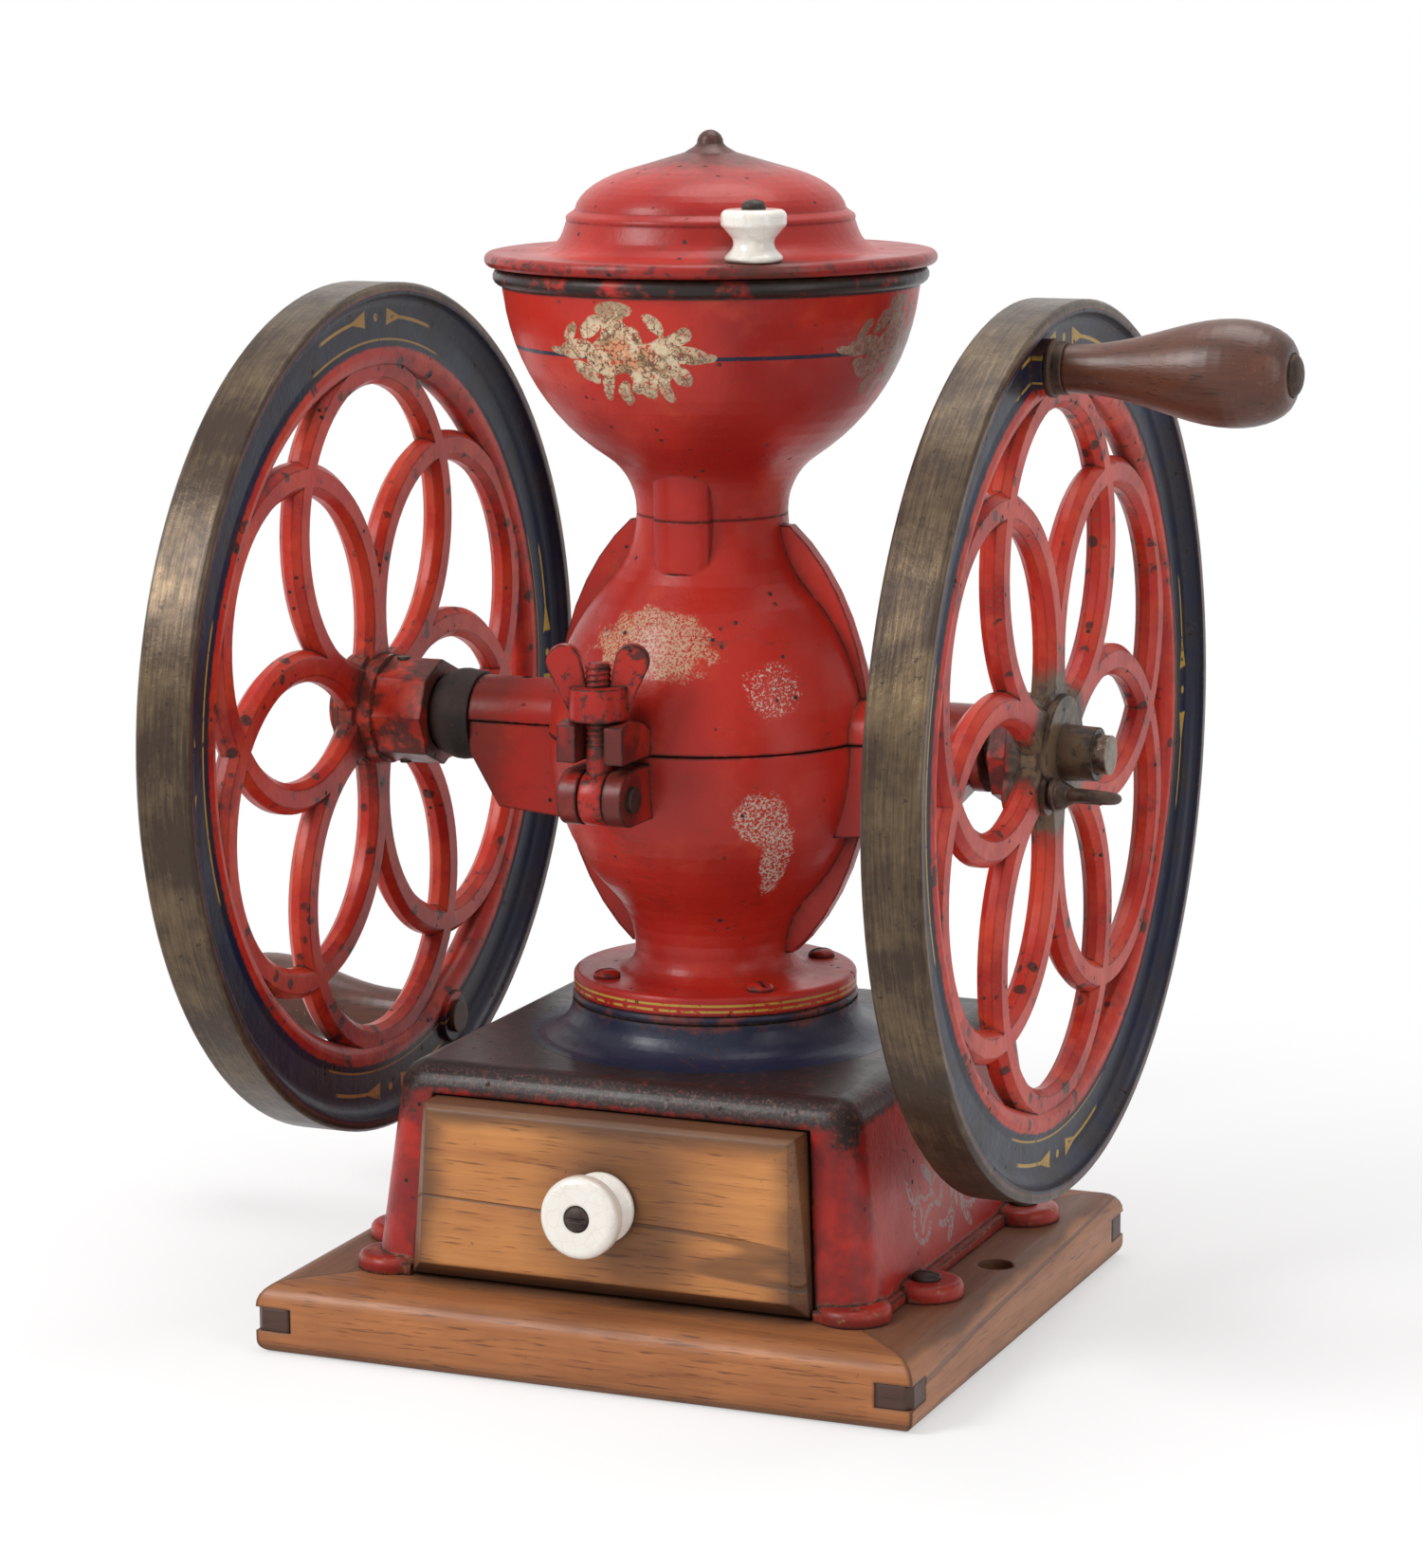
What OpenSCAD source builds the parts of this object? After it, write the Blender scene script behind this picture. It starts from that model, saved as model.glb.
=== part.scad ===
// Hand crank coffee mill with two flywheels, a swivelling hopper lid and a drawer.
// Millimetres, +Z up. The origin is on the table, under the mill's upright axis.
// X runs along the crank shaft and the drawer opens towards -Y.

/* [Wooden base] */
// Width of the wooden base, along the shaft
base_w = 214; // [206:1:235]
// Distance from the mill's axis to the front edge of the wooden base
base_front = 110; // [104:1:125]
// Distance from the mill's axis to the back edge of the wooden base
base_back = 89; // [88.5:0.5:110]
// Thickness of the wooden base
base_t = 22; // [18:0.5:28]
// Width of the mitred rails
rail_w = 30; // [28:0.5:36]
// Radius of the rounded upper outer edge of the rails
rail_round = 7; // [3:0.5:9]
// Leg of the triangular hardwood keys across the mitres
key_leg = 12; // [8:0.5:16]
// Thickness of the hardwood keys
key_t = 7.5; // [4:0.5:9]
// Radius of the two screw holes through the side rails
table_hole_r = 3.2; // [2:0.1:4]
// Radius of the counterbores over those holes
table_bore_r = 5.6; // [4.5:0.1:7]
// Distance of those holes from the side edge of the base
table_hole_inset = 10.5; // [9:0.5:13]

/* [Pedestal] */
// Width of the cast box at its top
box_top_w = 152; // [148:1:158]
// Width of the cast box at its foot
box_foot_w = 166; // [162:1:172]
// Height of the cast box over the wooden base
box_h = 65; // [60:1:75]
// Radius of the rolled upper edge
box_roll = 9; // [7:0.5:12]
// Radius of the upright corners at the foot
box_corner = 13; // [9:0.5:18]
// Wall of the cast box
box_wall = 5; // [4:0.5:6.5]
// Height of the bell that carries the mill case
bell_h = 14; // [10:0.5:18]
// Radius of the round seat on top of the bell
seat_r = 45; // [42:0.5:50]
// Thickness of the foot lobes
lobe_t = 5; // [4:0.5:7]
// Radius of the foot lobes
lobe_r = 11.5; // [9:0.5:13]

/* [Drawer] */
// Width of the drawer front at its top edge
front_top_w = 122; // [112:1:128]
// Width of the drawer front at its bottom edge
front_foot_w = 131; // [124:1:138]
// Height of the drawer front
front_h = 54; // [48:1:58]
// Thickness of the drawer front at its top edge
front_t = 12; // [9:0.5:15]
// Chamfer round the drawer front
front_chamfer = 5; // [2:0.5:7]
// Inside width of the drawer
drawer_in_w = 98; // [84:1:104]
// Length of the drawer's sides
drawer_len = 132; // [110:1:140]
// Height of the drawer's sides
drawer_h = 44; // [34:1:48]
// Thickness of the drawer's sides and back
drawer_side_t = 7; // [5:0.5:9]
// Thickness of the drawer's floor
drawer_floor_t = 4; // [3:0.5:6]
// Radius of the porcelain drawer knob
knob_r = 12.5; // [10:0.5:15]
// Length of the porcelain drawer knob
knob_len = 19; // [15:0.5:24]

/* [Mill case] */
// Greatest radius of the egg shaped case
egg_r = 51.5; // [49:0.5:55]
// Half height of the ellipse that shapes the egg
egg_h = 62; // [59:0.5:66]
// Distance of the egg's middle under the shaft
egg_drop = 2; // [0:0.5:4]
// Radius of the upper neck, under the hopper
neck_r = 23.5; // [22:0.5:26]
// Radius of the lower neck, over the flange
foot_neck_r = 25; // [23.5:0.5:28]
// Radius of the foot flange
flange_r = 44.6; // [42:0.2:48]
// Thickness of the foot flange
flange_t = 6; // [5:0.5:8]
// Fillet between the lower neck and the flange
flange_fillet = 7; // [4:0.5:8]
// Radius of the circle of flange screws
flange_screw_circle = 36.5; // [35.5:0.5:39]
// Thickness of the upright fins in the shaft's plane
fin_t = 5; // [4:0.5:7]
// Reach of the left bearing arm from the mill's axis
left_arm = 79; // [74:0.5:82]
// Reach of the right bearing arm from the mill's axis
right_arm = 88; // [82:0.5:89]
// Outer radius of the bearing arms
arm_r = 13; // [12:0.5:14.5]
// Gap between the upper and lower case at the parting plane
parting_gap = 0.4; // [0.3:0.1:0.6]
// Radius of the bean throat between hopper and feed worm
throat_r = 13; // [10:0.5:14]
// Radius of the outlet through the lower neck
outlet_r = 18; // [15:0.5:19.5]

/* [Clamp] */
// Distance of the swing bolt from the mill's axis, along the shaft to the left
clamp_x = 10; // [7:0.5:13]
// Distance of the swing bolt in front of the shaft
clamp_y = 65; // [63:0.5:68]
// Depth of the clevis pin under the parting plane
clevis_drop = 11; // [10:0.5:13]
// Radius of the swing bolt's shank
bolt_r = 4; // [3:0.25:4.5]
// Height of the swing bolt over the parting plane
bolt_top = 30; // [27:0.5:34]
// Radius of the clevis pin
clevis_pin_r = 2.6; // [2:0.1:3.2]
// Radius of the clevis lugs and of the bolt's eye
clevis_r = 8.4; // [7:0.2:9]
// Width of the bolt's eye
eye_w = 8; // [7:0.5:9]
// Width of each clamp lug
lug_w = 6; // [5:0.5:8]
// Height of the upper clamp lugs over the parting plane
lug_h = 12.6; // [11:0.2:14]
// Radius of the wing nut's body
nut_r = 9; // [8:0.5:10]
// Height of the wing nut's body
nut_h = 10; // [8:0.5:12]
// Half span of the wing nut's ears
wing_span = 15.5; // [13:0.5:17]

/* [Hopper and lid] */
// Radius of the hopper's outer rim
rim_r = 67; // [65:0.5:70]
// Height of the hopper from its seat to its rim
hopper_h = 76; // [72:0.5:82]
// Wall of the hopper
hopper_wall = 3.5; // [2.5:0.5:4.5]
// Radius of the flare between neck and bowl
flare_r = 20; // [16:0.5:22]
// Radius of the lid's flange
lid_r = 69.5; // [68:0.5:73]
// Height of the lid's dome over its flange, without the finial
lid_dome_h = 29; // [26:0.5:31]
// Radius of the lid's dome at its foot
lid_dome_r = 43.5; // [41:0.5:46]
// Thickness of the lid's flange
lid_flange_t = 4.4; // [4:0.2:5]
// Wall of the lid's dome
lid_wall = 3; // [2.5:0.25:3.5]
// Distance of the lid's knob and pivot from the middle of the lid
lid_knob_circle = 60; // [58.5:0.5:61]
// Direction of the lid's knob, counted from +X
lid_knob_angle = -55; // [-75:1:-35]
// Radius of the porcelain lid knob
lid_knob_r = 9.8; // [7:0.2:10]
// Height of the porcelain lid knob
lid_knob_h = 15.5; // [12:0.5:20]
// Radius of the lid's pivot screw
pivot_r = 3; // [2:0.1:3.5]

/* [Wheels] */
// Radius of the flywheels
wheel_r = 136.5; // [134:0.5:140]
// Width of the flywheel rims
rim_w = 18; // [15:0.5:20]
// Radial depth of the flywheel rims
rim_depth = 28; // [26:0.5:30]
// Position of the left wheel's middle plane, left of the mill's axis
left_wheel_x = 119.6; // [119:0.1:125]
// Position of the right wheel's middle plane, right of the mill's axis
right_wheel_x = 109.9; // [109.5:0.1:114]
// Radius of the rings that make the spokes, at their middle line
ring_r = 50; // [48:0.5:53]
// Half width of the spoke rings, seen from the side
ring_half_w = 4.9; // [4:0.1:5.5]
// Half thickness of the spoke rings, along the shaft
ring_half_t = 3.8; // [3:0.1:4.2]
// Radius of the wheel hubs
hub_r = 16; // [14:0.5:18]
// Direction of the right handle on its wheel, counted from +Y towards +Z
right_handle_angle = 100.9; // [90:0.1:110]
// Direction of the left handle on its wheel, counted from +Y towards +Z
left_handle_angle = -68; // [-80:1:-60]
// Distance of the handle spindles from the outside of the flywheels
crank_inset = 16; // [14.5:0.5:18]

/* [Handles] */
// Length of the turned wooden handles
handle_len = 68; // [60:1:80]
// Greatest radius of the handles
handle_r = 15.8; // [12:0.2:18]
// Radius of the handles at the ferrule
handle_neck_r = 7.2; // [6:0.2:9]
// Length of the ferrules
ferrule_len = 4.8; // [3:0.2:7]
// Radius of the handle spindles
spindle_r = 3; // [2.5:0.1:3.6]

/* [Shaft and burrs] */
// Radius of the crank shaft
shaft_r = 7.5; // [6.5:0.1:8]
// Radius of the shaft's tail in the right hub
tail_r = 6; // [5:0.1:6.4]
// Radius of the burrs
burr_r = 32; // [28:0.5:33]
// Thickness of each burr
burr_t = 7.5; // [6:0.5:8]
// Gap between the burr faces
grind_gap = 0.5; // [0.3:0.1:1]
// Number of teeth on each burr
burr_teeth = 20; // [12:1:28]
// Radius of the feed worm's flight
worm_r = 14; // [11:0.5:15]
// Length of the feed worm
worm_len = 44; // [36:1:46]

/* [Fits] */
// Radial clearance of running and sliding round fits
run_gap = 0.06; // [0.02:0.01:0.1]
// Clearance between pieces that are only set beside each other
seat_gap = 0.3; // [0.2:0.05:0.4]

/* [Hidden] */
$fn = 64;
eps = 0.01;

// ---- arcs and outlines ----
function arc(cx, cy, r, a0, a1, n = 8) =
    [for (i = [0:n]) let (a = a0 + (a1 - a0) * i / n) [cx + r * cos(a), cy + r * sin(a)]];
function oval(cx, cy, rx, ry, a0, a1, n = 10) =
    [for (i = [0:n]) let (a = a0 + (a1 - a0) * i / n) [cx + rx * cos(a), cy + ry * sin(a)]];

// ---- heights, from the table up ----
egg_turn = atan2(egg_h, egg_r);                      // where the egg's side slopes at 45 degrees
egg_turn_r = egg_r * cos(egg_turn);
egg_turn_z = egg_h * sin(egg_turn);
top_blend_r = (egg_turn_r - neck_r) / (1 - cos(45));
foot_blend_r = (egg_turn_r - foot_neck_r) / (1 - cos(45));
seam_z = egg_turn_z - egg_drop + top_blend_r * sin(45);
neck_foot_z = -egg_turn_z - egg_drop - foot_blend_r * sin(45);
flange_top_z = neck_foot_z - flange_fillet;
flange_foot_z = flange_top_z - flange_t;
box_top = base_t + box_h;
shaft_z = box_top + bell_h - flange_foot_z;
rim_z = seam_z + hopper_h;
lid_z = rim_z + seat_gap;
deck_z = lid_z + lid_flange_t;

// ---- shared places ----
case_bore_r = shaft_r + run_gap;
throat_x = throat_r - neck_r + 4.5;
chamber_x0 = throat_x + throat_r + 1.5;
chamber_r = burr_r + 2;
rotating_burr_x = chamber_x0 + burr_t + grind_gap;
chamber_x1 = rotating_burr_x + burr_t + 6;
trough_r = worm_r + 2;
worm_x1 = chamber_x0 + burr_t - 1;
worm_x0 = worm_x1 - worm_len;
slot_half = bolt_r + 0.75;
clevis_half = eye_w / 2 + 0.4;
lug_front = clamp_y + 7;
nut_z = lug_h + 0.4;
hinge_y = egg_r + 9.5;
hinge_r = 7;
hinge_pin_r = 3;
knuckle_w = 9;
fin_reach = egg_r + 1.5;
fin_h = egg_h + 16;
box_flat = box_top_w / 2 - box_roll;
box_foot_flat = box_foot_w / 2 - box_corner;
lobe_corner = box_foot_w / 2 - 7;
lobe_side_x = box_foot_w / 2 + 4.5;
lobe_side_y = 45;
opening_rise = front_h + 2.2;
front_lean = 3.4;
drawer_z = base_t + 1;
front_back_y = -(box_foot_w / 2 - 8.5);
front_face_foot = front_back_y - front_t - front_lean;
knob_z = drawer_z + 0.5 + front_h * 0.52;
front_face_knob = front_back_y - front_t - front_lean * (1 - 0.52);
knob_screw_r = 2;
knob_head_r = 3.9;
knob_wood = front_back_y - front_face_knob;          // thickness of the front behind the knob
knob_nut_r = 4.4;
knob_nut_t = 2.4;
web_t = 8;
crank_r = wheel_r - crank_inset;
star_t = 5.2;
spindle_seat = rim_w / 2 - 1.2;
right_boss = right_wheel_x - right_arm - 8;
left_boss = left_wheel_x - left_arm - 15;
table_hole_x = base_w / 2 - table_hole_inset;
table_hole_y = -7.5;
lid_pivot = [-lid_knob_circle * cos(lid_knob_angle), -lid_knob_circle * sin(lid_knob_angle)];
lid_knob_at = [lid_knob_circle * cos(lid_knob_angle), lid_knob_circle * sin(lid_knob_angle)];

red = "firebrick";
navy = "midnightblue";
iron = "dimgray";
maple = "peru";

// ---- small helpers ----
module at_shaft() { translate([0, 0, shaft_z]) children(); }
module along_x(x) { translate([x, 0, 0]) rotate([0, 90, 0]) children(); }
module rod_x(x0, x1, r) { along_x(x0) cylinder(h = x1 - x0, r = r); }
module tube_y(y0, y1, r) { translate([0, y0, 0]) rotate([-90, 0, 0]) cylinder(h = y1 - y0, r = r); }

// A domed screw head with a driver slot, its seat at z = 0
module slotted_head(r, h, slot_w = 1.2) {
    difference() {
        rotate_extrude()
            polygon(concat([[0, 0], [r, 0]], oval(0, h * 0.3, r, h * 0.7, 0, 90, 6)));
        translate([-r - 1, -slot_w / 2, h * 0.55]) cube([2 * r + 2, slot_w, h]);
    }
}

// ---- wooden base ----
// Profile of a rail, its outer edge at x = 0 and its body towards +X
module rail_profile() {
    foot_round = rail_round * 0.6;
    polygon(concat(
        arc(foot_round, foot_round, foot_round, 270, 180, 5),
        arc(rail_round, base_t - rail_round, rail_round, 180, 90, 6),
        [[rail_w, base_t], [rail_w, 0]]));
}

// A rail of the given outer length along X, its outer edge on y = 0 and its body towards +Y,
// mitred at both ends and slotted for the keys
module mitred_rail(len) {
    key_z = (base_t - key_t) / 2;
    difference() {
        intersection() {
            translate([-len / 2, 0, 0]) rotate([90, 0, 90]) linear_extrude(len) rail_profile();
            linear_extrude(base_t)
                polygon([[-len / 2, 0], [len / 2, 0], [len / 2 - rail_w, rail_w], [rail_w - len / 2, rail_w]]);
        }
        for (s = [-1, 1]) translate([s * len / 2, 0, key_z]) linear_extrude(key_t)
            polygon([[s, -1], [-s * (key_leg + 1), -1], [s, key_leg + 1]]);
    }
}

module front_rail() {
    color(maple) translate([0, -base_front, 0]) mitred_rail(base_w);
}

module back_rail() {
    color(maple) translate([0, base_back, 0]) rotate(180) mitred_rail(base_w);
}

module side_rail(side) {
    depth = base_front + base_back;
    difference() {
        translate([side * base_w / 2, (base_back - base_front) / 2, 0]) rotate(side * 90) mitred_rail(depth);
        translate([side * table_hole_x, table_hole_y, -1]) cylinder(h = base_t + 2, r = table_hole_r);
        translate([side * table_hole_x, table_hole_y, base_t * 0.4]) cylinder(h = base_t, r = table_bore_r);
        foot_screw_holes();
    }
}

// Holes of the foot screws, in whichever boards lie under the feet
module foot_screw_holes() {
    for (sx = [-1, 1], sy = [-1, 1]) translate([sx * lobe_side_x, sy * lobe_side_y, base_t - 14])
        cylinder(h = 15, r = 2);
}

module left_rail() { color(maple) side_rail(-1); }
module right_rail() { color(maple) side_rail(1); }

module centre_board() {
    inset = rail_w + 0.15;
    color("sienna") difference() {
        translate([inset - base_w / 2, inset - base_front, 0])
            cube([base_w - 2 * inset, base_front + base_back - 2 * inset, base_t]);
        foot_screw_holes();
    }
}

// Triangular keys of darker wood, let into slots across the four mitres
module corner_keys() {
    key_z = (base_t - key_t) / 2 + 0.1;
    leg = key_leg - 0.6;
    round_off = 2.2;
    color("saddlebrown")
    for (sx = [-1, 1], y = [-base_front, base_back]) {
        sy = y < 0 ? 1 : -1;
        translate([sx * base_w / 2, y, key_z]) linear_extrude(key_t - 0.2)
            polygon([[-sx * round_off, sy * 0.1], [-sx * leg, sy * 0.1], [-sx * 0.1, sy * leg], [-sx * 0.1, sy * round_off]]);
    }
}

// ---- pedestal ----
module box_body(grow, foot_z) {
    hull() {
        for (sx = [-1, 1], sy = [-1, 1]) {
            translate([sx * box_flat, sy * box_flat, box_top - box_roll]) sphere(r = box_roll + grow, $fn = 32);
            translate([sx * box_foot_flat, sy * box_foot_flat, foot_z])
                cylinder(h = 1, r = box_corner + grow, $fn = 32);
        }
    }
}

// A low slab with round corners, the bead round the foot of the box
module foot_bead() {
    half = box_foot_w / 2 + 2.2;
    r = box_corner + 2.2;
    translate([0, 0, base_t]) {
        translate([-half, r - half, 0]) cube([2 * half, 2 * (half - r), 3.6]);
        translate([r - half, -half, 0]) cube([2 * (half - r), 2 * half, 3.6]);
        for (sx = [-1, 1], sy = [-1, 1]) translate([sx * (half - r), sy * (half - r), 0]) cylinder(h = 3.6, r = r);
    }
}

// The bell that rises from the box to the round seat
module bell() {
    seat_bead = 3;
    translate([0, 0, box_top]) rotate_extrude()
        polygon(concat([[0, -box_wall], [seat_r + bell_h, -box_wall], [seat_r + bell_h, 0]],
            arc(seat_r + bell_h - seat_bead, bell_h - seat_bead, bell_h - seat_bead, 270, 180, 8),
            arc(seat_r - seat_bead / 2, bell_h - seat_bead / 2, seat_bead / 2, -90, 90, 6),
            [[0, bell_h]]));
}

module foot_lobe(x, y, r) {
    translate([x, y, base_t]) rotate_extrude()
        polygon(concat([[0, 0], [r, 0]], arc(r - 2.2, lobe_t - 2.2, 2.2, 0, 90, 4), [[0, lobe_t]]));
}

// The opening in the front wall, a little larger than the drawer front all round
module drawer_opening() {
    gap = 1.2;
    top_half = front_top_w / 2 + gap;
    foot_half = front_foot_w / 2 + gap;
    translate([0, -box_foot_w / 2 + box_wall + 14, base_t]) rotate([90, 0, 0]) linear_extrude(60)
        polygon([[-foot_half, -1], [foot_half, -1], [top_half, opening_rise], [-top_half, opening_rise]]);
}

module pedestal_box() {
    color(navy) difference() {
        union() {
            box_body(0, base_t);
            foot_bead();
            bell();
            for (sx = [-1, 1], sy = [-1, 1]) {
                foot_lobe(sx * lobe_corner, sy * lobe_corner, lobe_r);
                foot_lobe(sx * lobe_side_x, sy * lobe_side_y, lobe_r);
            }
        }
        box_body(-box_wall, base_t - 2);
        drawer_opening();
        translate([0, 0, box_top - box_wall - 1]) cylinder(h = bell_h + box_wall + 2, r = outlet_r);
        for (a = [45:90:315]) rotate(a) translate([flange_screw_circle, 0, box_top - 3])
            cylinder(h = bell_h + 4, r = 2.1);
        for (sx = [-1, 1], sy = [-1, 1]) translate([sx * lobe_side_x, sy * lobe_side_y, base_t - 1])
            cylinder(h = lobe_t + 2, r = 2.3);
    }
}

module foot_screws() {
    color(iron) for (sx = [-1, 1], sy = [-1, 1]) translate([sx * lobe_side_x, sy * lobe_side_y, base_t + lobe_t]) {
        slotted_head(4.6, 2.2);
        translate([0, 0, -lobe_t - 12]) cylinder(h = lobe_t + 12.5, r = 1.9);
    }
}

module flange_screws() {
    color(iron) for (a = [45:90:315]) rotate(a)
        translate([flange_screw_circle, 0, shaft_z + flange_top_z]) {
            slotted_head(4.2, 2.6);
            translate([0, 0, -flange_t - 9]) cylinder(h = flange_t + 9.5, r = 2);
        }
}

// ---- drawer ----
// Outline of the drawer front, shrunk by cut on every side
module front_outline(cut) {
    foot_half = front_foot_w / 2 - cut;
    top_half = front_top_w / 2 - cut;
    polygon([[-foot_half, cut], [foot_half, cut], [top_half, front_h - cut], [-top_half, front_h - cut]]);
}

// Place of the knob on the leaning front, square to its face
module at_knob() {
    translate([0, front_face_knob, knob_z]) rotate([90 - atan(front_lean / front_h), 0, 0]) children();
}

module drawer_front() {
    depth = front_t + front_lean;
    color(maple) difference() {
        intersection() {
            hull() {
                translate([0, front_back_y, drawer_z + 0.5]) rotate([90, 0, 0])
                    linear_extrude(depth - front_chamfer) front_outline(0);
                translate([0, front_back_y, drawer_z + 0.5]) rotate([90, 0, 0])
                    linear_extrude(depth) front_outline(front_chamfer);
            }
            translate([-front_foot_w, front_back_y, drawer_z + 0.5]) rotate([90, 0, 90])
                linear_extrude(2 * front_foot_w)
                polygon([[0, 0], [0, front_h], [-front_t, front_h], [-depth, 0]]);
        }
        at_knob() translate([0, 0, -2 * front_t]) cylinder(h = 3 * front_t, r = knob_screw_r + run_gap);
        at_knob() translate([0, 0, -knob_wood - 4]) cylinder(h = 4 + knob_nut_t + 0.3, r = knob_nut_r + 0.8);
    }
}

module drawer_side(side) {
    x0 = side > 0 ? drawer_in_w / 2 : -drawer_in_w / 2 - drawer_side_t;
    groove = 2.5;
    color("burlywood") difference() {
        translate([x0, front_back_y + 0.05, drawer_z]) cube([drawer_side_t, drawer_len, drawer_h]);
        translate([-drawer_in_w / 2 - groove - 0.2, front_back_y - 1, drawer_z + 3])
            cube([drawer_in_w + 2 * groove + 0.4, drawer_len + 2, drawer_floor_t + 0.2]);
    }
}

module drawer_left_side() { drawer_side(-1); }
module drawer_right_side() { drawer_side(1); }

module drawer_back() {
    color("burlywood") translate([0.1 - drawer_in_w / 2, front_back_y + drawer_len - drawer_side_t, drawer_z + 3.3 + drawer_floor_t])
        cube([drawer_in_w - 0.2, drawer_side_t, drawer_h - 5.3 - drawer_floor_t]);
}

module drawer_floor() {
    groove = 2.5;
    color("tan") translate([-drawer_in_w / 2 - groove, front_back_y + 0.05, drawer_z + 3.1])
        cube([drawer_in_w + 2 * groove, drawer_len - 0.5, drawer_floor_t]);
}

// Profile of a porcelain knob, its foot at z = 0
module knob_profile(r, h) {
    polygon(concat([[0, 0]],
        arc(r * 0.76, h * 0.08, h * 0.08, -90, 60, 4),
        arc(r * 0.94, h * 0.36, r * 0.32, 215, 150, 5),
        arc(r - h * 0.1, h * 0.74, h * 0.1, -60, 10, 4),
        arc(r - h * 0.14, h * 0.86, h * 0.14, 0, 80, 5),
        [[0, h]]));
}

module drawer_knob() {
    color("ivory") at_knob() translate([0, 0, 0.1]) difference() {
        rotate_extrude() knob_profile(knob_r, knob_len);
        translate([0, 0, -1]) cylinder(h = knob_len + 2, r = knob_screw_r + run_gap);
        translate([0, 0, knob_len - 1.2]) cylinder(h = 5, r = knob_head_r + 0.25);
    }
}

module drawer_knob_screw() {
    color(iron) at_knob() {
        translate([0, 0, knob_len - 1.05]) slotted_head(knob_head_r, 2.4);
        translate([0, 0, -knob_wood]) cylinder(h = knob_wood + knob_len - 0.9, r = knob_screw_r);
        translate([0, 0, -knob_wood]) cylinder(h = knob_nut_t, r = knob_nut_r, $fn = 6);
    }
}

// ---- mill case ----
function egg_top() = concat(
    oval(0, -egg_drop, egg_r, egg_h, asin((egg_drop + parting_gap) / egg_h), egg_turn, 9),
    arc(neck_r + top_blend_r, seam_z, top_blend_r, 225, 180, 6));

function egg_foot() = concat(
    oval(0, -egg_drop, egg_r, egg_h, asin((egg_drop - parting_gap / 2) / egg_h), -egg_turn, 10),
    arc(foot_neck_r + foot_blend_r, neck_foot_z, foot_blend_r, 135, 180, 5),
    arc(foot_neck_r + flange_fillet, neck_foot_z, flange_fillet, 190, 270, 5));

// The fin that stiffens the case, in the plane of the shaft, between two heights
module fin(z0, z1) {
    intersection() {
        rotate([90, 0, 0]) linear_extrude(fin_t, center = true)
            polygon(oval(0, -egg_drop, fin_reach, fin_h, 0, 360, 48));
        translate([-2 * egg_r, -egg_r, z0]) cube([4 * egg_r, 2 * egg_r, z1 - z0]);
    }
}

// The feed worm's trough, the burr chamber and the shaft's bearings
module case_hollow() {
    rod_x(-left_arm - 5, right_arm + 5, case_bore_r);
    rod_x(worm_x0 - 3, chamber_x0 + 1, trough_r);
    rod_x(chamber_x0, chamber_x1, chamber_r);
}

module clamp_lug(x, z0, z1) {
    translate([x, -lug_front, z0]) cube([lug_w, lug_front - egg_r * 0.8, z1 - z0]);
}

module upper_case() {
    color(red) at_shaft() difference() {
        union() {
            rotate_extrude() polygon(concat([[0, parting_gap]], egg_top(), [[0, seam_z]]));
            fin(parting_gap, seam_z - 3);
            intersection() {
                rod_x(-left_arm, right_arm, arm_r);
                translate([-left_arm - 1, -arm_r - 1, parting_gap]) cube([left_arm + right_arm + 2, 2 * arm_r + 2, arm_r + 2]);
            }
            // rib down the front of the neck
            intersection() {
                translate([0, 8 - neck_r, seam_z - 16]) cylinder(h = 15.9, r = 13);
                translate([-9, -neck_r - 12, seam_z - 16]) cube([18, neck_r + 12, 15.9]);
            }
            // clamp lugs, rounded about the clevis pin so that the nut can swing over them
            intersection() {
                union() {
                    clamp_lug(-clamp_x - slot_half - lug_w, parting_gap, lug_h);
                    clamp_lug(-clamp_x + slot_half, parting_gap, lug_h);
                }
                translate([0, -clamp_y, -clevis_drop]) rod_x(-egg_r, egg_r, lug_h + clevis_drop);
            }
            // hinge knuckle at the back
            difference() {
                union() {
                    translate([0, hinge_y, 0]) rod_x(-knuckle_w / 2, knuckle_w / 2, hinge_r);
                    translate([-knuckle_w / 2, egg_r * 0.85, parting_gap])
                        cube([knuckle_w, hinge_y - egg_r * 0.85, hinge_r - parting_gap]);
                }
                translate([0, hinge_y, 0]) rod_x(-egg_r, egg_r, hinge_pin_r + run_gap);
            }
        }
        case_hollow();
        translate([0, 0, seam_z - 6]) cylinder(h = 10, r = throat_r + 6.5);
        translate([throat_x, 0, 0]) cylinder(h = seam_z + 10, r = throat_r);
        translate([-left_arm + 15, 0, 0]) cylinder(h = 30, r = 1.6);
        translate([right_arm - 15, 0, 0]) cylinder(h = 30, r = 1.6);
    }
}

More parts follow.
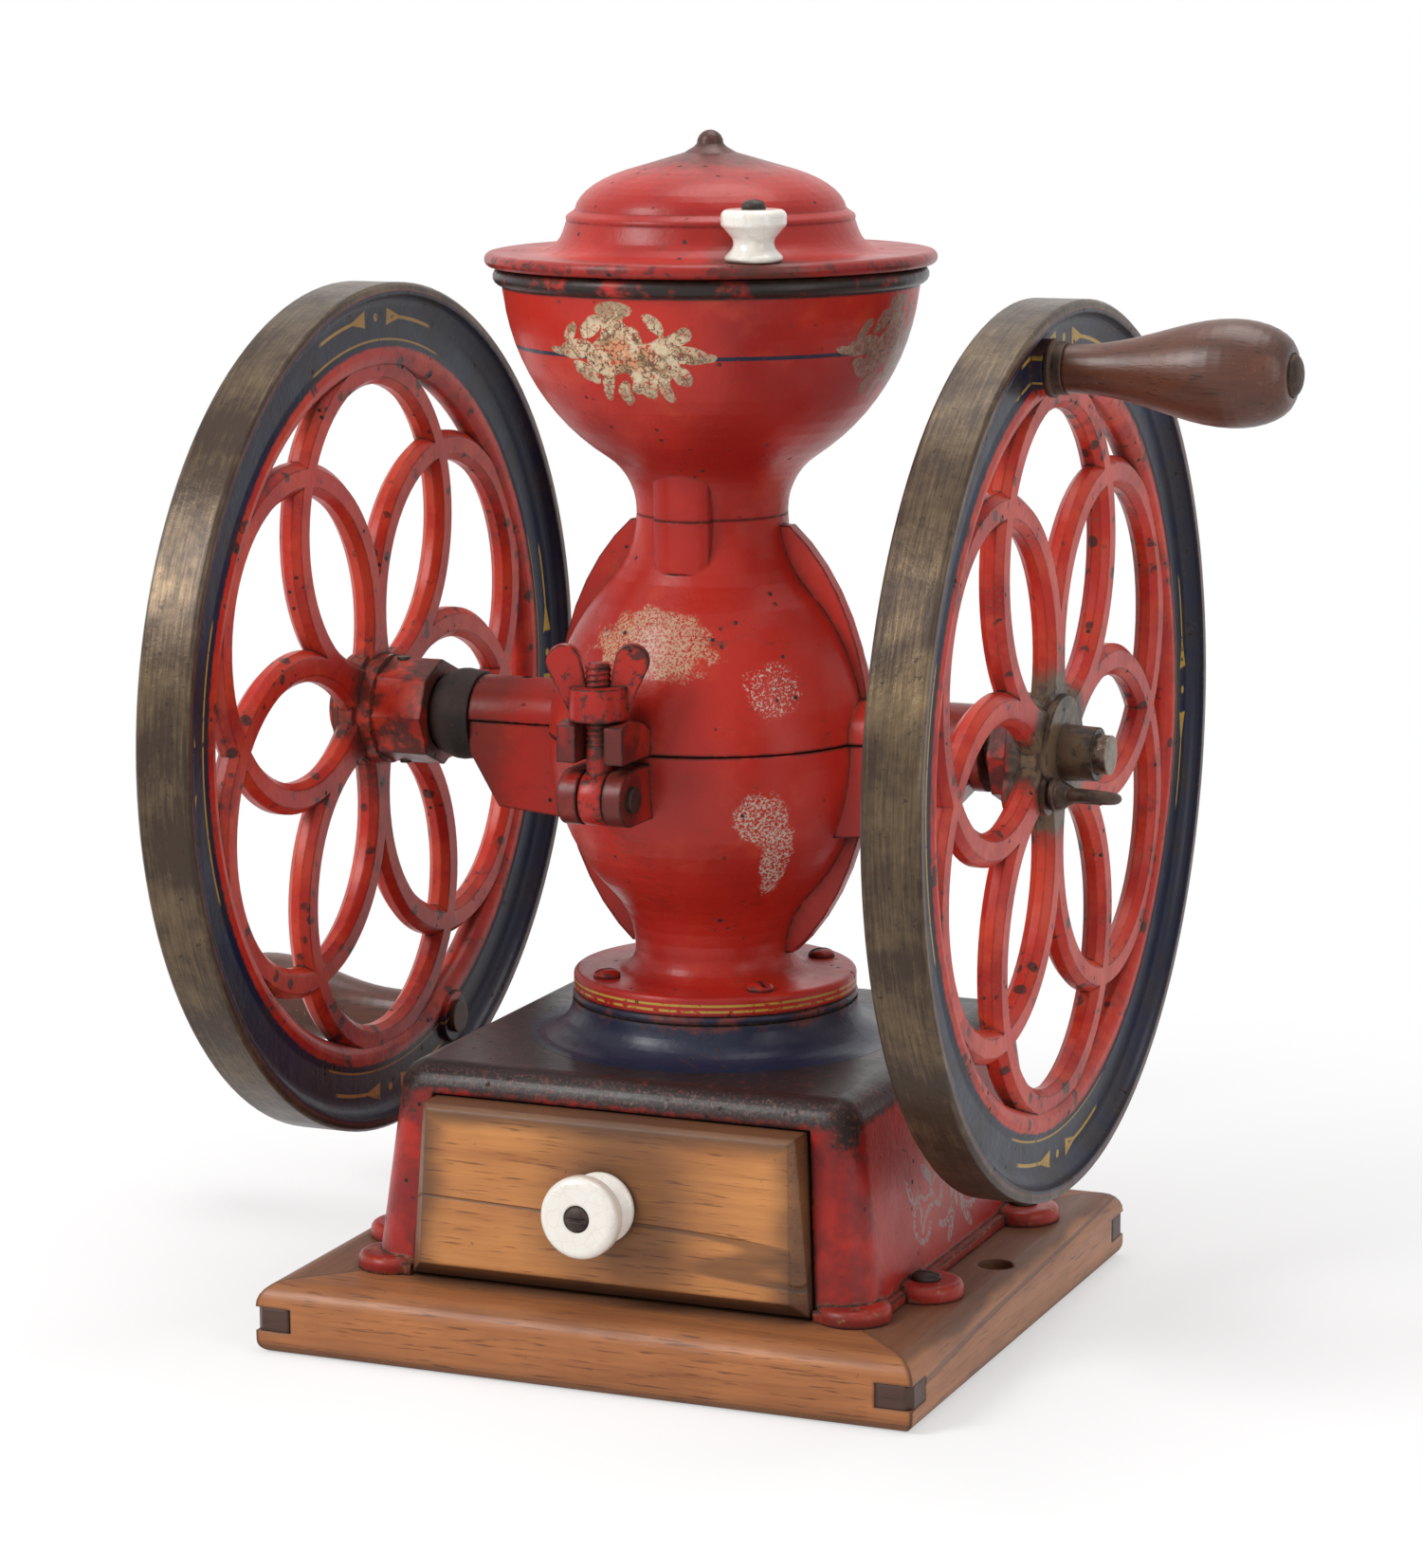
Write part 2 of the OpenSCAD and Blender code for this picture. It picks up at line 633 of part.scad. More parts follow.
module lower_case() {
    gusset_end = 10;
    gusset_drop = 27;
    color(red) at_shaft() difference() {
        union() {
            rotate_extrude() polygon(concat([[0, -parting_gap / 2]], egg_foot(),
                [[flange_r - 1.5, flange_top_z]], arc(flange_r - 1.5, flange_top_z - 1.5, 1.5, 90, 0, 4),
                [[flange_r, flange_foot_z], [0, flange_foot_z]]));
            fin(neck_foot_z, -parting_gap / 2);
            rotate([90, 0, 0]) linear_extrude(2 * arm_r - 2, center = true)
                polygon([[-left_arm, -parting_gap / 2], [-left_arm, -gusset_end], [gusset_end - left_arm, -gusset_drop],
                    [-egg_r * 0.7, -gusset_drop - 3], [egg_r * 0.7, -gusset_drop - 3],
                    [right_arm - gusset_end - 6, -gusset_drop], [right_arm, -gusset_end], [right_arm, -parting_gap / 2]]);
            // clevis lugs at the front
            difference() {
                for (x = [-clamp_x - clevis_half - lug_w, -clamp_x + clevis_half]) {
                    translate([0, -clamp_y, -clevis_drop]) rod_x(x, x + lug_w, clevis_r);
                    translate([x, -clamp_y, -clevis_drop - clevis_r])
                        cube([lug_w, clamp_y - egg_r * 0.75, 2 * clevis_r]);
                }
                translate([0, -clamp_y, -clevis_drop]) rod_x(-egg_r, egg_r, clevis_pin_r);
            }
            // hinge knuckles at the back
            difference() {
                for (x = [-knuckle_w * 1.5 - seat_gap, knuckle_w / 2 + seat_gap]) {
                    translate([0, hinge_y, 0]) rod_x(x, x + knuckle_w, hinge_r);
                    translate([x, egg_r * 0.85, -hinge_r]) cube([knuckle_w, hinge_y - egg_r * 0.85, hinge_r - parting_gap / 2]);
                }
                translate([0, hinge_y, 0]) rod_x(-egg_r, egg_r, hinge_pin_r);
            }
        }
        case_hollow();
        intersection() {
            translate([0, 0, flange_foot_z - 1]) cylinder(h = -flange_foot_z + 1 - trough_r - 6, r = outlet_r);
            translate([-2 * egg_r, -egg_r, flange_foot_z - 2]) cube([4 * egg_r, 2 * egg_r, egg_h * 2]);
        }
        for (a = [45:90:315]) rotate(a) translate([flange_screw_circle, 0, flange_foot_z - 1])
            cylinder(h = flange_t + 3, r = 2.1);
    }
}

module hinge_pin() {
    half = knuckle_w * 1.5 + seat_gap;
    color(iron) translate([0, hinge_y, shaft_z]) {
        rod_x(-half - 1, half + 1, hinge_pin_r);
        rod_x(half, half + 2, hinge_pin_r + 1.5);
        rod_x(-half - 2, -half, hinge_pin_r + 1.5);
    }
}

// ---- clamp ----
module clevis_pin() {
    x0 = -clamp_x - clevis_half - lug_w;
    x1 = -clamp_x + clevis_half + lug_w;
    color(iron) translate([0, -clamp_y, shaft_z - clevis_drop]) {
        rod_x(x0 - 1, x1 + 1, clevis_pin_r);
        rod_x(x1, x1 + 1.6, clevis_pin_r + 1.4);
        rod_x(x0 - 1.6, x0, clevis_pin_r + 1.4);
    }
}

module swing_bolt() {
    color(red) translate([-clamp_x, -clamp_y, shaft_z - clevis_drop]) difference() {
        union() {
            rod_x(-eye_w / 2, eye_w / 2, clevis_r);
            cylinder(h = bolt_top + clevis_drop - 0.8, r = bolt_r);
            translate([0, 0, bolt_top + clevis_drop - 0.8]) cylinder(h = 0.8, r1 = bolt_r, r2 = bolt_r - 0.8);
        }
        rod_x(-eye_w, eye_w, clevis_pin_r + run_gap);
    }
}

module wing_nut() {
    ear_t = 4.4;
    ear_r = 5.2;
    color(red) translate([-clamp_x, -clamp_y, shaft_z + nut_z]) rotate(20) difference() {
        union() {
            cylinder(h = nut_h, r = nut_r);
            for (s = [-1, 1]) hull() {
                translate([s * (wing_span - ear_r), ear_t / 2, nut_h + 7.5]) rotate([90, 0, 0])
                    cylinder(h = ear_t, r = ear_r, $fn = 32);
                translate([s * (nut_r - 3.4), ear_t / 2, 3.2]) rotate([90, 0, 0])
                    cylinder(h = ear_t, r = 3.2, $fn = 24);
            }
        }
        translate([0, 0, -1]) cylinder(h = nut_h + 20, r = bolt_r + run_gap);
    }
}

// ---- hopper ----
wall_r = rim_r - 2.7;
bowl_lean = neck_r + flare_r - wall_r;
bowl_rise = hopper_h - 1;
bowl_r = (bowl_rise * bowl_rise / (flare_r - bowl_lean) - flare_r - bowl_lean) / 2;
bowl_x = wall_r - bowl_r;
flare_z = rim_z - bowl_rise;
flare_turn = atan2(bowl_rise, bowl_x - neck_r - flare_r);

module hopper() {
    bead = 2.7;
    inner_r = bowl_r - hopper_wall;
    mouth_a = asin(min(1, (bowl_rise - 13) / inner_r));
    spigot_r = throat_r + 6.2;
    color(red) at_shaft() difference() {
        union() {
            rotate_extrude() polygon(concat([[0, seam_z], [neck_r, seam_z]],
                arc(neck_r + flare_r, flare_z, flare_r, 180, flare_turn, 7),
                arc(bowl_x, rim_z, bowl_r, flare_turn - 180, -7, 12),
                arc(rim_r - bead, rim_z - bead, bead, -90, 90, 7), [[0, rim_z]]));
            translate([0, 0, seam_z - 5.6]) cylinder(h = 8, r = spigot_r);
            intersection() {
                translate([0, 8 - neck_r, seam_z]) cylinder(h = 15, r = 13);
                translate([-9, -neck_r - 12, seam_z]) cube([18, neck_r + 12, 15]);
            }
            intersection() {
                translate([lid_pivot[0], lid_pivot[1], rim_z - 14]) cylinder(h = 14, r = 6.5);
                cylinder(h = rim_z, r = rim_r - 0.5);
            }
        }
        difference() {
            translate([0, 0, rim_z]) rotate_extrude() polygon(concat([[0, 1], [bowl_x + inner_r, 1]],
                arc(bowl_x, 0, inner_r, 0, -mouth_a, 12), [[0, -bowl_rise + 8]]));
            translate([lid_pivot[0], lid_pivot[1], rim_z - 14]) cylinder(h = 20, r = 6.5);
        }
        translate([throat_x, 0, seam_z - 10]) cylinder(h = hopper_h, r = throat_r);
        translate([lid_pivot[0], lid_pivot[1], rim_z - 12]) cylinder(h = 20, r = pivot_r);
    }
}

module lid_pivot_screw() {
    color(iron) translate([lid_pivot[0], lid_pivot[1], 0]) {
        translate([0, 0, shaft_z + rim_z - 11.5]) cylinder(h = 11.5 + seat_gap + lid_flange_t + 0.4, r = pivot_r);
        translate([0, 0, shaft_z + deck_z + 0.3]) slotted_head(pivot_r + 2, 2.4);
    }
}

// ---- lid ----
function lid_top(shift) = concat(
    arc(lid_r - lid_flange_t / 2, lid_flange_t / 2, lid_flange_t / 2 - shift / 4, -60, 90, 6),
    arc(lid_dome_r + 10, lid_flange_t + 8.5, 8.5 + shift, 270, 200, 6),
    arc(lid_dome_r - 0.5, lid_flange_t + 10, 1.4 - shift / 4, -30, 60, 4),
    oval(0, lid_flange_t + 11.5, lid_dome_r - 1.8 - shift, lid_dome_h - 12.5 - shift, 4, 58, 8));

module lid() {
    top = lid_flange_t + lid_dome_h;
    shoulder = lid_top(0);
    last = shoulder[len(shoulder) - 1];
    color(red) translate([0, 0, shaft_z + lid_z]) difference() {
        rotate_extrude() polygon(concat([[0, 0], [lid_r - lid_flange_t / 2, 0]], shoulder,
            [[last[0] * 0.64, top - 1.2], [8, top + 0.6], [5, top + 2.4]],
            arc(0, top + 3.4, 4.1, 0, 90, 5)));
        rotate_extrude() polygon(concat([[0, -1], [lid_dome_r + 8, -1], [lid_dome_r + 8, 0]],
            [[lid_dome_r - 1, 5], [lid_dome_r - lid_wall - 1.5, lid_flange_t + 9]],
            oval(0, lid_flange_t + 10, lid_dome_r - lid_wall - 3, lid_dome_h - 12 - lid_wall, 4, 85, 8),
            [[0, lid_flange_t + lid_dome_h - 2 - lid_wall]]));
        translate([lid_pivot[0], lid_pivot[1], -1]) cylinder(h = lid_flange_t + 3, r = pivot_r + run_gap);
        translate([lid_knob_at[0], lid_knob_at[1], -1]) cylinder(h = lid_flange_t + 3, r = knob_screw_r);
    }
}

module lid_knob() {
    color("ivory") translate([lid_knob_at[0], lid_knob_at[1], shaft_z + deck_z + 0.05]) difference() {
        rotate_extrude() knob_profile(lid_knob_r, lid_knob_h);
        translate([0, 0, -1]) cylinder(h = lid_knob_h + 2, r = knob_screw_r + run_gap);
    }
}

module lid_knob_screw() {
    color(iron) translate([lid_knob_at[0], lid_knob_at[1], shaft_z + deck_z]) {
        translate([0, 0, lid_knob_h + 0.1]) slotted_head(3.6, 2.8);
        translate([0, 0, -lid_flange_t + 0.2]) cylinder(h = lid_knob_h + lid_flange_t, r = knob_screw_r);
    }
}

// ---- burrs, worm and shaft ----
// Cuts the slanting grooves between the teeth of a burr whose face is at z = 0
module burr_grooves(inner) {
    depth = 2.4;
    for (i = [0:burr_teeth - 1]) rotate(i * 360 / burr_teeth)
        translate([inner + 2, 0, 0]) rotate([0, 0, 14]) rotate([90, 0, 90]) linear_extrude(burr_r)
            polygon([[-0.9, 1], [0, -depth], [2.1, 1]]);
}

module burr_plate(inner) {
    difference() {
        translate([0, 0, -burr_t]) cylinder(h = burr_t, r = burr_r);
        translate([0, 0, -burr_t - 1]) cylinder(h = burr_t + 2, r = inner);
        burr_grooves(inner);
    }
}

module fixed_burr() {
    color(iron) at_shaft() difference() {
        along_x(chamber_x0 + burr_t) burr_plate(trough_r);
        for (a = [90:120:330]) rotate([a, 0, 0]) translate([0, burr_r - 6, 0])
            rod_x(chamber_x0 - 1, chamber_x0 + burr_t + 1, 1.9);
    }
}

module burr_screws() {
    color("silver") at_shaft() for (a = [90:120:330]) rotate([a, 0, 0]) translate([0, burr_r - 6, 0])
        rod_x(chamber_x0 + 0.2, chamber_x0 + burr_t - 2.8, 1.8);
}

module rotating_burr() {
    color(iron) at_shaft() along_x(rotating_burr_x) rotate([180, 0, 0]) burr_plate(shaft_r + 0.02);
}

module feed_worm() {
    turns = 2;
    flight_t = 5;
    color(iron) at_shaft() along_x(worm_x0) difference() {
        union() {
            cylinder(h = worm_len, r = shaft_r + 2);
            linear_extrude(worm_len, twist = -360 * turns, slices = 32, $fn = 4)
                translate([shaft_r, -flight_t / 2]) square([worm_r - shaft_r - 0.5, flight_t]);
        }
        translate([0, 0, -1]) cylinder(h = worm_len + 2, r = shaft_r + 0.02);
    }
}

module shaft() {
    color("silver") at_shaft() difference() {
        union() {
            rod_x(-left_wheel_x - 11, right_arm + 6, shaft_r);
            rod_x(right_arm + 5, right_wheel_x + 20, tail_r);
        }
        translate([hub_pin_x(), 0, -30]) cylinder(h = 60, r = 2);
    }
}

module bearing_cap() {
    color(red) at_shaft() difference() {
        rod_x(right_arm, right_arm + 4, arm_r + 0.6);
        rod_x(right_arm - 1, right_arm + 5, case_bore_r);
    }
}

// Thrust collar between the left hub and the left arm
module thrust_collar() {
    outer = arm_r + 1.6;
    color("black") at_shaft() difference() {
        along_x(-left_arm - seat_gap) rotate([180, 0, 0]) rotate_extrude()
            polygon(concat([[0, 0], [outer - 0.8, 0]], oval(9, 6, outer - 9, 9, 0, 90, 7), [[9.6, 15], [9.6, 17.5], [0, 17.5]]));
        rod_x(-left_arm - 30, 0, shaft_r + 0.02);
    }
}

// ---- wheels ----
function hub_pin_x() = -left_wheel_x + 12;

// Section of the rim: tread band with two lips, hollow faces and a round inner bead
module rim_section() {
    band = 4;
    bead = 5;
    half = rim_w / 2;
    web = web_t / 2;
    inner = wheel_r - rim_depth;
    rotate_extrude() polygon(concat(
        [[wheel_r, 1 - half], [wheel_r, half - 1], [wheel_r - 1, half], [wheel_r - band, half]],
        arc(wheel_r - band - 5, half, half - web, 0, -90, 6),
        [[inner + 2 * bead, web]],
        arc(inner + bead, 0, bead, 70, 290, 12),
        [[inner + 2 * bead, -web]],
        arc(wheel_r - band - 5, -half, half - web, 90, 0, 6),
        [[wheel_r - band, -half], [wheel_r - 1, -half]]));
}

// Six interlaced rings between hub and rim, each of a flattened round section, and the star
// that fills the corners between them at the hub
module spoke_rings() {
    reach = wheel_r - rim_depth + 0.6;
    flat = ring_half_w - 2.1;
    side = ring_half_t - 2.3;
    for (a = [30:60:330]) rotate(a) translate([reach - ring_r, 0, 0])
        rotate_extrude() translate([ring_r, 0]) polygon([[-ring_half_w, -side], [-flat, -ring_half_t],
            [flat, -ring_half_t], [ring_half_w, -side], [ring_half_w, side], [flat, ring_half_t],
            [-flat, ring_half_t], [-ring_half_w, side]]);
    linear_extrude(star_t, center = true) union() {
        circle(r = hub_r + 3);
        for (a = [30:60:330]) rotate(a) polygon([[0, -12], [hub_r + 11, 0], [0, 12]]);
    }
}

// One flywheel in its own frame: axis Z, outer side towards +Z. The boss faces the mill and
// the nose carries the shaft's end
module flywheel(handle_angle, boss, cup, nose, nose_r, bore) {
    difference() {
        union() {
            rim_section();
            spoke_rings();
            translate([0, 0, -8]) cylinder(h = 13.5, r = hub_r + 1.5);
            translate([0, 0, -boss]) cylinder(h = boss, r = hub_r + 1, $fn = 8);
            translate([0, 0, 5]) cylinder(h = nose - 5, r1 = nose_r + 0.5, r2 = nose_r);
            rotate(handle_angle) translate([crank_r, 0, -web_t / 2 - 2]) cylinder(h = web_t / 2 + 2 + spindle_seat, r = 8.5);
        }
        translate([0, 0, -boss - 1]) cylinder(h = boss + nose + 2, r = bore + 0.02);
        translate([0, 0, -boss - 1]) cylinder(h = cup + 1, r = 11.5);
        rotate(handle_angle) translate([crank_r, 0, -web_t - 2]) cylinder(h = 3 * web_t, r = spindle_r + 0.02);
    }
}
thumb_r = 3;
thumb_ring_r = 8.5;
thumb_angle = 38;
thumb_circle = thumb_ring_r + tail_r + 2.2 + 0.4;    // clear of the nose all the way round
thumb_y = -thumb_circle * cos(thumb_angle);
thumb_z = -thumb_circle * sin(thumb_angle);

module left_wheel() {
    color(red) at_shaft() difference() {
        translate([-left_wheel_x, 0, 0]) rotate([90, 0, -90]) mirror([1, 0, 0])
            flywheel(left_handle_angle, left_boss, 8, 10, shaft_r + 3, shaft_r);
        translate([hub_pin_x(), 0, -30]) cylinder(h = 60, r = 2);
    }
}

module right_wheel() {
    color(red) at_shaft() difference() {
        union() {
            translate([right_wheel_x, 0, 0]) rotate([90, 0, 90])
                flywheel(right_handle_angle, right_boss, 0.5, 16, tail_r + 2.2, tail_r);
            translate([0, thumb_y, thumb_z]) rod_x(right_wheel_x - 8, right_wheel_x + 5, thumb_r + 3.6);
        }
        translate([0, thumb_y, thumb_z]) rod_x(right_wheel_x - 2, right_wheel_x + 20, thumb_r + 0.05);
    }
}

module hub_pin() {
    color(iron) at_shaft() translate([hub_pin_x(), 0, -hub_r - 1.2]) cylinder(h = 2 * hub_r + 2.4, r = 1.95);
}

// Screw with a flat ring head in the right hub
module regulating_screw() {
    ring = thumb_ring_r;
    ring_hole = 3.8;
    x0 = right_wheel_x + 5.5;
    color(iron) at_shaft() translate([0, thumb_y, thumb_z]) {
        rod_x(right_wheel_x - 1.5, x0 + 7, thumb_r);
        translate([x0 + 5 + ring, 0, 0]) rotate([-14, 0, 0]) difference() {
            translate([0, 0, -2]) cylinder(h = 4, r = ring);
            translate([0, 0, -3]) cylinder(h = 6, r = ring_hole);
        }
    }
}

// ---- handles, in a frame with the spindle along Z and the wheel's web face at z = 0 ----
module at_left_crank() {
    at_shaft() translate([-left_wheel_x - spindle_seat, crank_r * cos(left_handle_angle), crank_r * sin(left_handle_angle)])
        rotate([0, -90, 0]) children();
}

module at_right_crank() {
    at_shaft() translate([right_wheel_x + spindle_seat, crank_r * cos(right_handle_angle), crank_r * sin(right_handle_angle)])
        rotate([0, 90, 0]) children();
}

module spindle() {
    end = seat_gap + ferrule_len + handle_len;
    button_r = 6.2;
    back = spindle_seat + web_t / 2 + 2;
    color(iron) {
        translate([0, 0, -back - 1]) cylinder(h = back + 1 + end, r = spindle_r);
        translate([0, 0, -back - 1.8]) cylinder(h = 1.8, r = spindle_r + 2.4);
        translate([0, 0, end + 0.2]) rotate_extrude() polygon(concat([[0, -1], [button_r, -1]], oval(0, 0, button_r, 2.6, 0, 90, 6)));
    }
}

module ferrule() {
    color("gray") translate([0, 0, seat_gap]) difference() {
        union() {
            cylinder(h = ferrule_len, r = handle_neck_r + 0.6);
            cylinder(h = 1.4, r = handle_neck_r + 1.5);
        }
        translate([0, 0, -1]) cylinder(h = ferrule_len + 2, r = spindle_r + run_gap);
    }
}

// Pear shaped turned handle: slender neck, full belly, rounded end
module wooden_handle() {
    belly = handle_len * 0.74;
    end_r = 7;
    z0 = seat_gap + ferrule_len + 0.05;
    color("saddlebrown") translate([0, 0, z0]) difference() {
        rotate_extrude() polygon(concat([[0, 0], [handle_neck_r, 0]],
            [for (i = [1:12]) let (t = i / 12) [handle_neck_r + (handle_r - handle_neck_r) * (1 - cos(180 * pow(t, 1.15))) / 2, belly * t]],
            [for (i = [1:8]) let (t = i / 8) [end_r + (handle_r - end_r) * cos(90 * t), belly + (handle_len - belly) * sin(90 * t)]],
            [[0, handle_len]]));
        translate([0, 0, -1]) cylinder(h = handle_len + 2, r = spindle_r + run_gap);
        translate([0, 0, handle_len - 1.2]) cylinder(h = 3, r = 6.5);
    }
}

module left_spindle() { at_left_crank() spindle(); }
module right_spindle() { at_right_crank() spindle(); }
module left_ferrule() { at_left_crank() ferrule(); }
module right_ferrule() { at_right_crank() ferrule(); }
module left_handle() { at_left_crank() wooden_handle(); }
module right_handle() { at_right_crank() wooden_handle(); }

front_rail();
back_rail();
left_rail();
right_rail();
centre_board();
corner_keys();
pedestal_box();
foot_screws();
flange_screws();
drawer_front();
drawer_left_side();
drawer_right_side();
drawer_back();
drawer_floor();
drawer_knob();
drawer_knob_screw();
lower_case();
upper_case();
hinge_pin();
clevis_pin();
swing_bolt();
wing_nut();
hopper();
lid_pivot_screw();
lid();
lid_knob();
lid_knob_screw();
fixed_burr();
burr_screws();
bearing_cap();
shaft();
left_wheel();
right_wheel();
rotating_burr();
feed_worm();
thrust_collar();
hub_pin();
regulating_screw();
left_spindle();
right_spindle();
left_handle();
left_ferrule();
right_handle();
right_ferrule();
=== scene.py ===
# %% [markdown]
# # Dressing a hand crank coffee mill
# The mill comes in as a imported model: cast iron cases, two flywheels, turned handles, a
# drawer in a cast box. Its shapes are finished, so most of this lesson is about surfaces:
# old enamel that has chipped, painted lines, bare rubbed iron, varnished wood and porcelain.
# Every finish is worked out from the place of a point on the mill, so no picture is needed.

# %% Load the mill
import math
import bmesh
import bpy
from mathutils import Matrix, Vector


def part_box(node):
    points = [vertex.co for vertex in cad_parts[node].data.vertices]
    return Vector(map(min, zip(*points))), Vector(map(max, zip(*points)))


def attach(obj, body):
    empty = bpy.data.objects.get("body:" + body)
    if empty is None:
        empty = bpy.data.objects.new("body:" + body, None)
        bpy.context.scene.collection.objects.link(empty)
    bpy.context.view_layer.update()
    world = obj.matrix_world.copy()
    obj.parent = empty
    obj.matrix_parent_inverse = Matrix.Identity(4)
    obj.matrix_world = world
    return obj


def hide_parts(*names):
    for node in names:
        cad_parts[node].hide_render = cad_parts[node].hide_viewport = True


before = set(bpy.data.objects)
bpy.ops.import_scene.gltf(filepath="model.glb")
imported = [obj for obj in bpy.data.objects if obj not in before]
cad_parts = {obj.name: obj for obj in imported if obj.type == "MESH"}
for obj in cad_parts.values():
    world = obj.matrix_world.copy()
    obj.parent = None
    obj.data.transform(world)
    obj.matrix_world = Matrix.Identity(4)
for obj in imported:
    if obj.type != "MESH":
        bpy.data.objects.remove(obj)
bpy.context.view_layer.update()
MM = 0.001


def low(node, axis):
    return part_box(node)[0][axis]


def high(node, axis):
    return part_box(node)[1][axis]


def middle(node, axis):
    return (low(node, axis) + high(node, axis)) / 2


SHAFT_Z = middle("shaft", 2)
SHAFT_MM = SHAFT_Z * 1000
DECK_Z = low("pedestal_box", 2)  # the top of the wooden base
RIGHT_WHEEL_X = 109.9 * MM  # the plane of the right wheel's rings
WHEEL_R = (high("right_wheel", 2) - low("right_wheel", 2)) / 2
RIM_Z = high("hopper", 2)
print("shaft at", round(SHAFT_Z, 4), "rim of the hopper at", round(RIM_Z, 4))

# %% [markdown]
# ## Writing shader maths as Python
# A finish such as worn enamel needs long formulas. Wiring Math nodes by hand for each one
# hides the idea, so one small class holds a node's output and lets Python's own operators
# build the nodes. Each line below then reads like the formula it stands for.

# %% A socket that can be added, multiplied and compared
class Field:
    """The output of a node, as a number or colour that varies over the surface."""

    def __init__(self, finish, socket):
        self.finish, self.socket = finish, socket

    def math(self, operation, a, b=0.0, clamp=False):
        return self.finish.node("ShaderNodeMath", {"operation": operation, "use_clamp": clamp}, {0: a, 1: b})

    def __add__(self, other): return self.math("ADD", self, other)
    def __sub__(self, other): return self.math("SUBTRACT", self, other)
    def __mul__(self, other): return self.math("MULTIPLY", self, other)
    def __truediv__(self, other): return self.math("DIVIDE", self, other)
    def __pow__(self, other): return self.math("POWER", self, other)
    def __mod__(self, other): return self.math("FLOORED_MODULO", self, other)
    def __rsub__(self, other): return self.math("SUBTRACT", other, self)
    def __lt__(self, other): return self.math("LESS_THAN", self, other)
    __radd__ = __add__
    __rmul__ = __mul__


class Finish:
    """One material, with its shader and the few helpers that its formulas use."""

    def __init__(self, name, metallic=0.0, coat=0.0, specular=0.5, rounding=None):
        self.material = bpy.data.materials.new(name)
        self.material.use_nodes = True
        self.tree = self.material.node_tree
        self.shader = self.tree.nodes["Principled BSDF"]
        self.shader.inputs["Metallic"].default_value = metallic
        self.shader.inputs["Coat Weight"].default_value = coat
        self.shader.inputs["Coat Roughness"].default_value = 0.25
        self.shader.inputs["Specular IOR Level"].default_value = specular
        self.bumps = None  # the normal so far: first the rounded edges, then each bump on top
        if rounding:
            self.bumps = self.node("ShaderNodeBevel", {"samples": 6}, {"Radius": rounding})
        self.place = self.node("ShaderNodeTexCoord", {}, {}, out="Object")
        self.x, self.y, self.z = (
            self.node("ShaderNodeSeparateXYZ", {}, {0: self.place}, out=i) for i in range(3))

    def node(self, kind, settings, inputs, out=0):
        """Adds a node, sets its properties and inputs, and gives one output as a Field."""
        made = self.tree.nodes.new(kind)
        for key, value in settings.items():
            setattr(made, key, value)
        for key, value in inputs.items():
            self.plug(made.inputs[key], value)
        return Field(self, made.outputs[out])

    def plug(self, socket, value):
        """Feeds a socket with a Field, a colour or a number."""
        if isinstance(value, Field):
            self.tree.links.new(value.socket, socket)
        elif isinstance(value, tuple) and socket.type == "RGBA":
            socket.default_value = (*value, 1.0)
        else:
            socket.default_value = value

    def vector(self, x, y, z):
        return self.node("ShaderNodeCombineXYZ", {}, {0: x, 1: y, 2: z})

    def noise(self, size, detail=2.0, rough=0.5, at=None, seed=0.0):
        """Cloudy noise around 0.5, with lumps of about the given size in metres."""
        inputs = {"Vector": at or self.place, "W": seed, "Scale": 1 / size, "Detail": detail, "Roughness": rough}
        return self.node("ShaderNodeTexNoise", {"noise_dimensions": "4D"}, inputs)

    def cells(self, size, feature="F1"):
        """Distance from scattered points, or from the borders between their cells."""
        inputs = {"Vector": self.place, "Scale": 1 / size}
        return self.node("ShaderNodeTexVoronoi", {"feature": feature}, inputs, out="Distance")

    def ramp(self, value, start, end):
        """0 where value is under start, 1 over end, smooth between; start may be above end."""
        return self.node("ShaderNodeMapRange", {"interpolation_type": "SMOOTHSTEP"},
                         {"Value": value, "From Min": start, "From Max": end})

    def mix(self, under, over, share):
        """The colour under, covered by the colour over as far as share says."""
        return self.node("ShaderNodeMix", {"data_type": "RGBA"}, {0: share, 6: under, 7: over}, out=2)

    def length(self, a, b):
        return (a * a + b * b) ** 0.5

    def both(self, a, b): return (a if isinstance(a, Field) else b).math("MINIMUM", a, b)
    def either(self, a, b): return (a if isinstance(a, Field) else b).math("MAXIMUM", a, b)
    def size(self, a): return a.math("ABSOLUTE", a)
    def angle(self, up, along): return up.math("ARCTAN2", up, along)
    def soft(self, value): return value.math("ADD", value, 0.0, clamp=True)

    def edges(self):
        """Near 1 on sharp edges, where the rounded normal turns away, 0 on flat places."""
        true = self.node("ShaderNodeNewGeometry", {}, {}, out="Normal")
        settings = {"operation": "DOT_PRODUCT"}
        facing = self.node("ShaderNodeVectorMath", settings, {0: self.bumps, 1: true}, out="Value")
        return self.ramp(facing, 0.995, 0.90)

    def crevice(self, reach):
        """Near 1 deep in corners, 0 in the open."""
        settings = {"samples": 4, "only_local": False}
        open_air = self.node("ShaderNodeAmbientOcclusion", settings, {"Distance": reach}, out="AO")
        return self.ramp(open_air, 0.85, 0.35)

    def bump(self, height, depth, strength=1.0):
        """Raises the surface where height is near 1, by depth metres."""
        inputs = {"Height": height, "Distance": depth, "Strength": strength}
        if self.bumps:
            inputs["Normal"] = self.bumps
        self.bumps = self.node("ShaderNodeBump", {}, inputs)

    def done(self, colour, roughness, coat=None):
        for name, value in (("Base Color", colour), ("Roughness", roughness), ("Coat Weight", coat)):
            if value is not None:
                self.plug(self.shader.inputs[name], value)
        if self.bumps:
            self.plug(self.shader.inputs["Normal"], self.bumps)
        return self.material


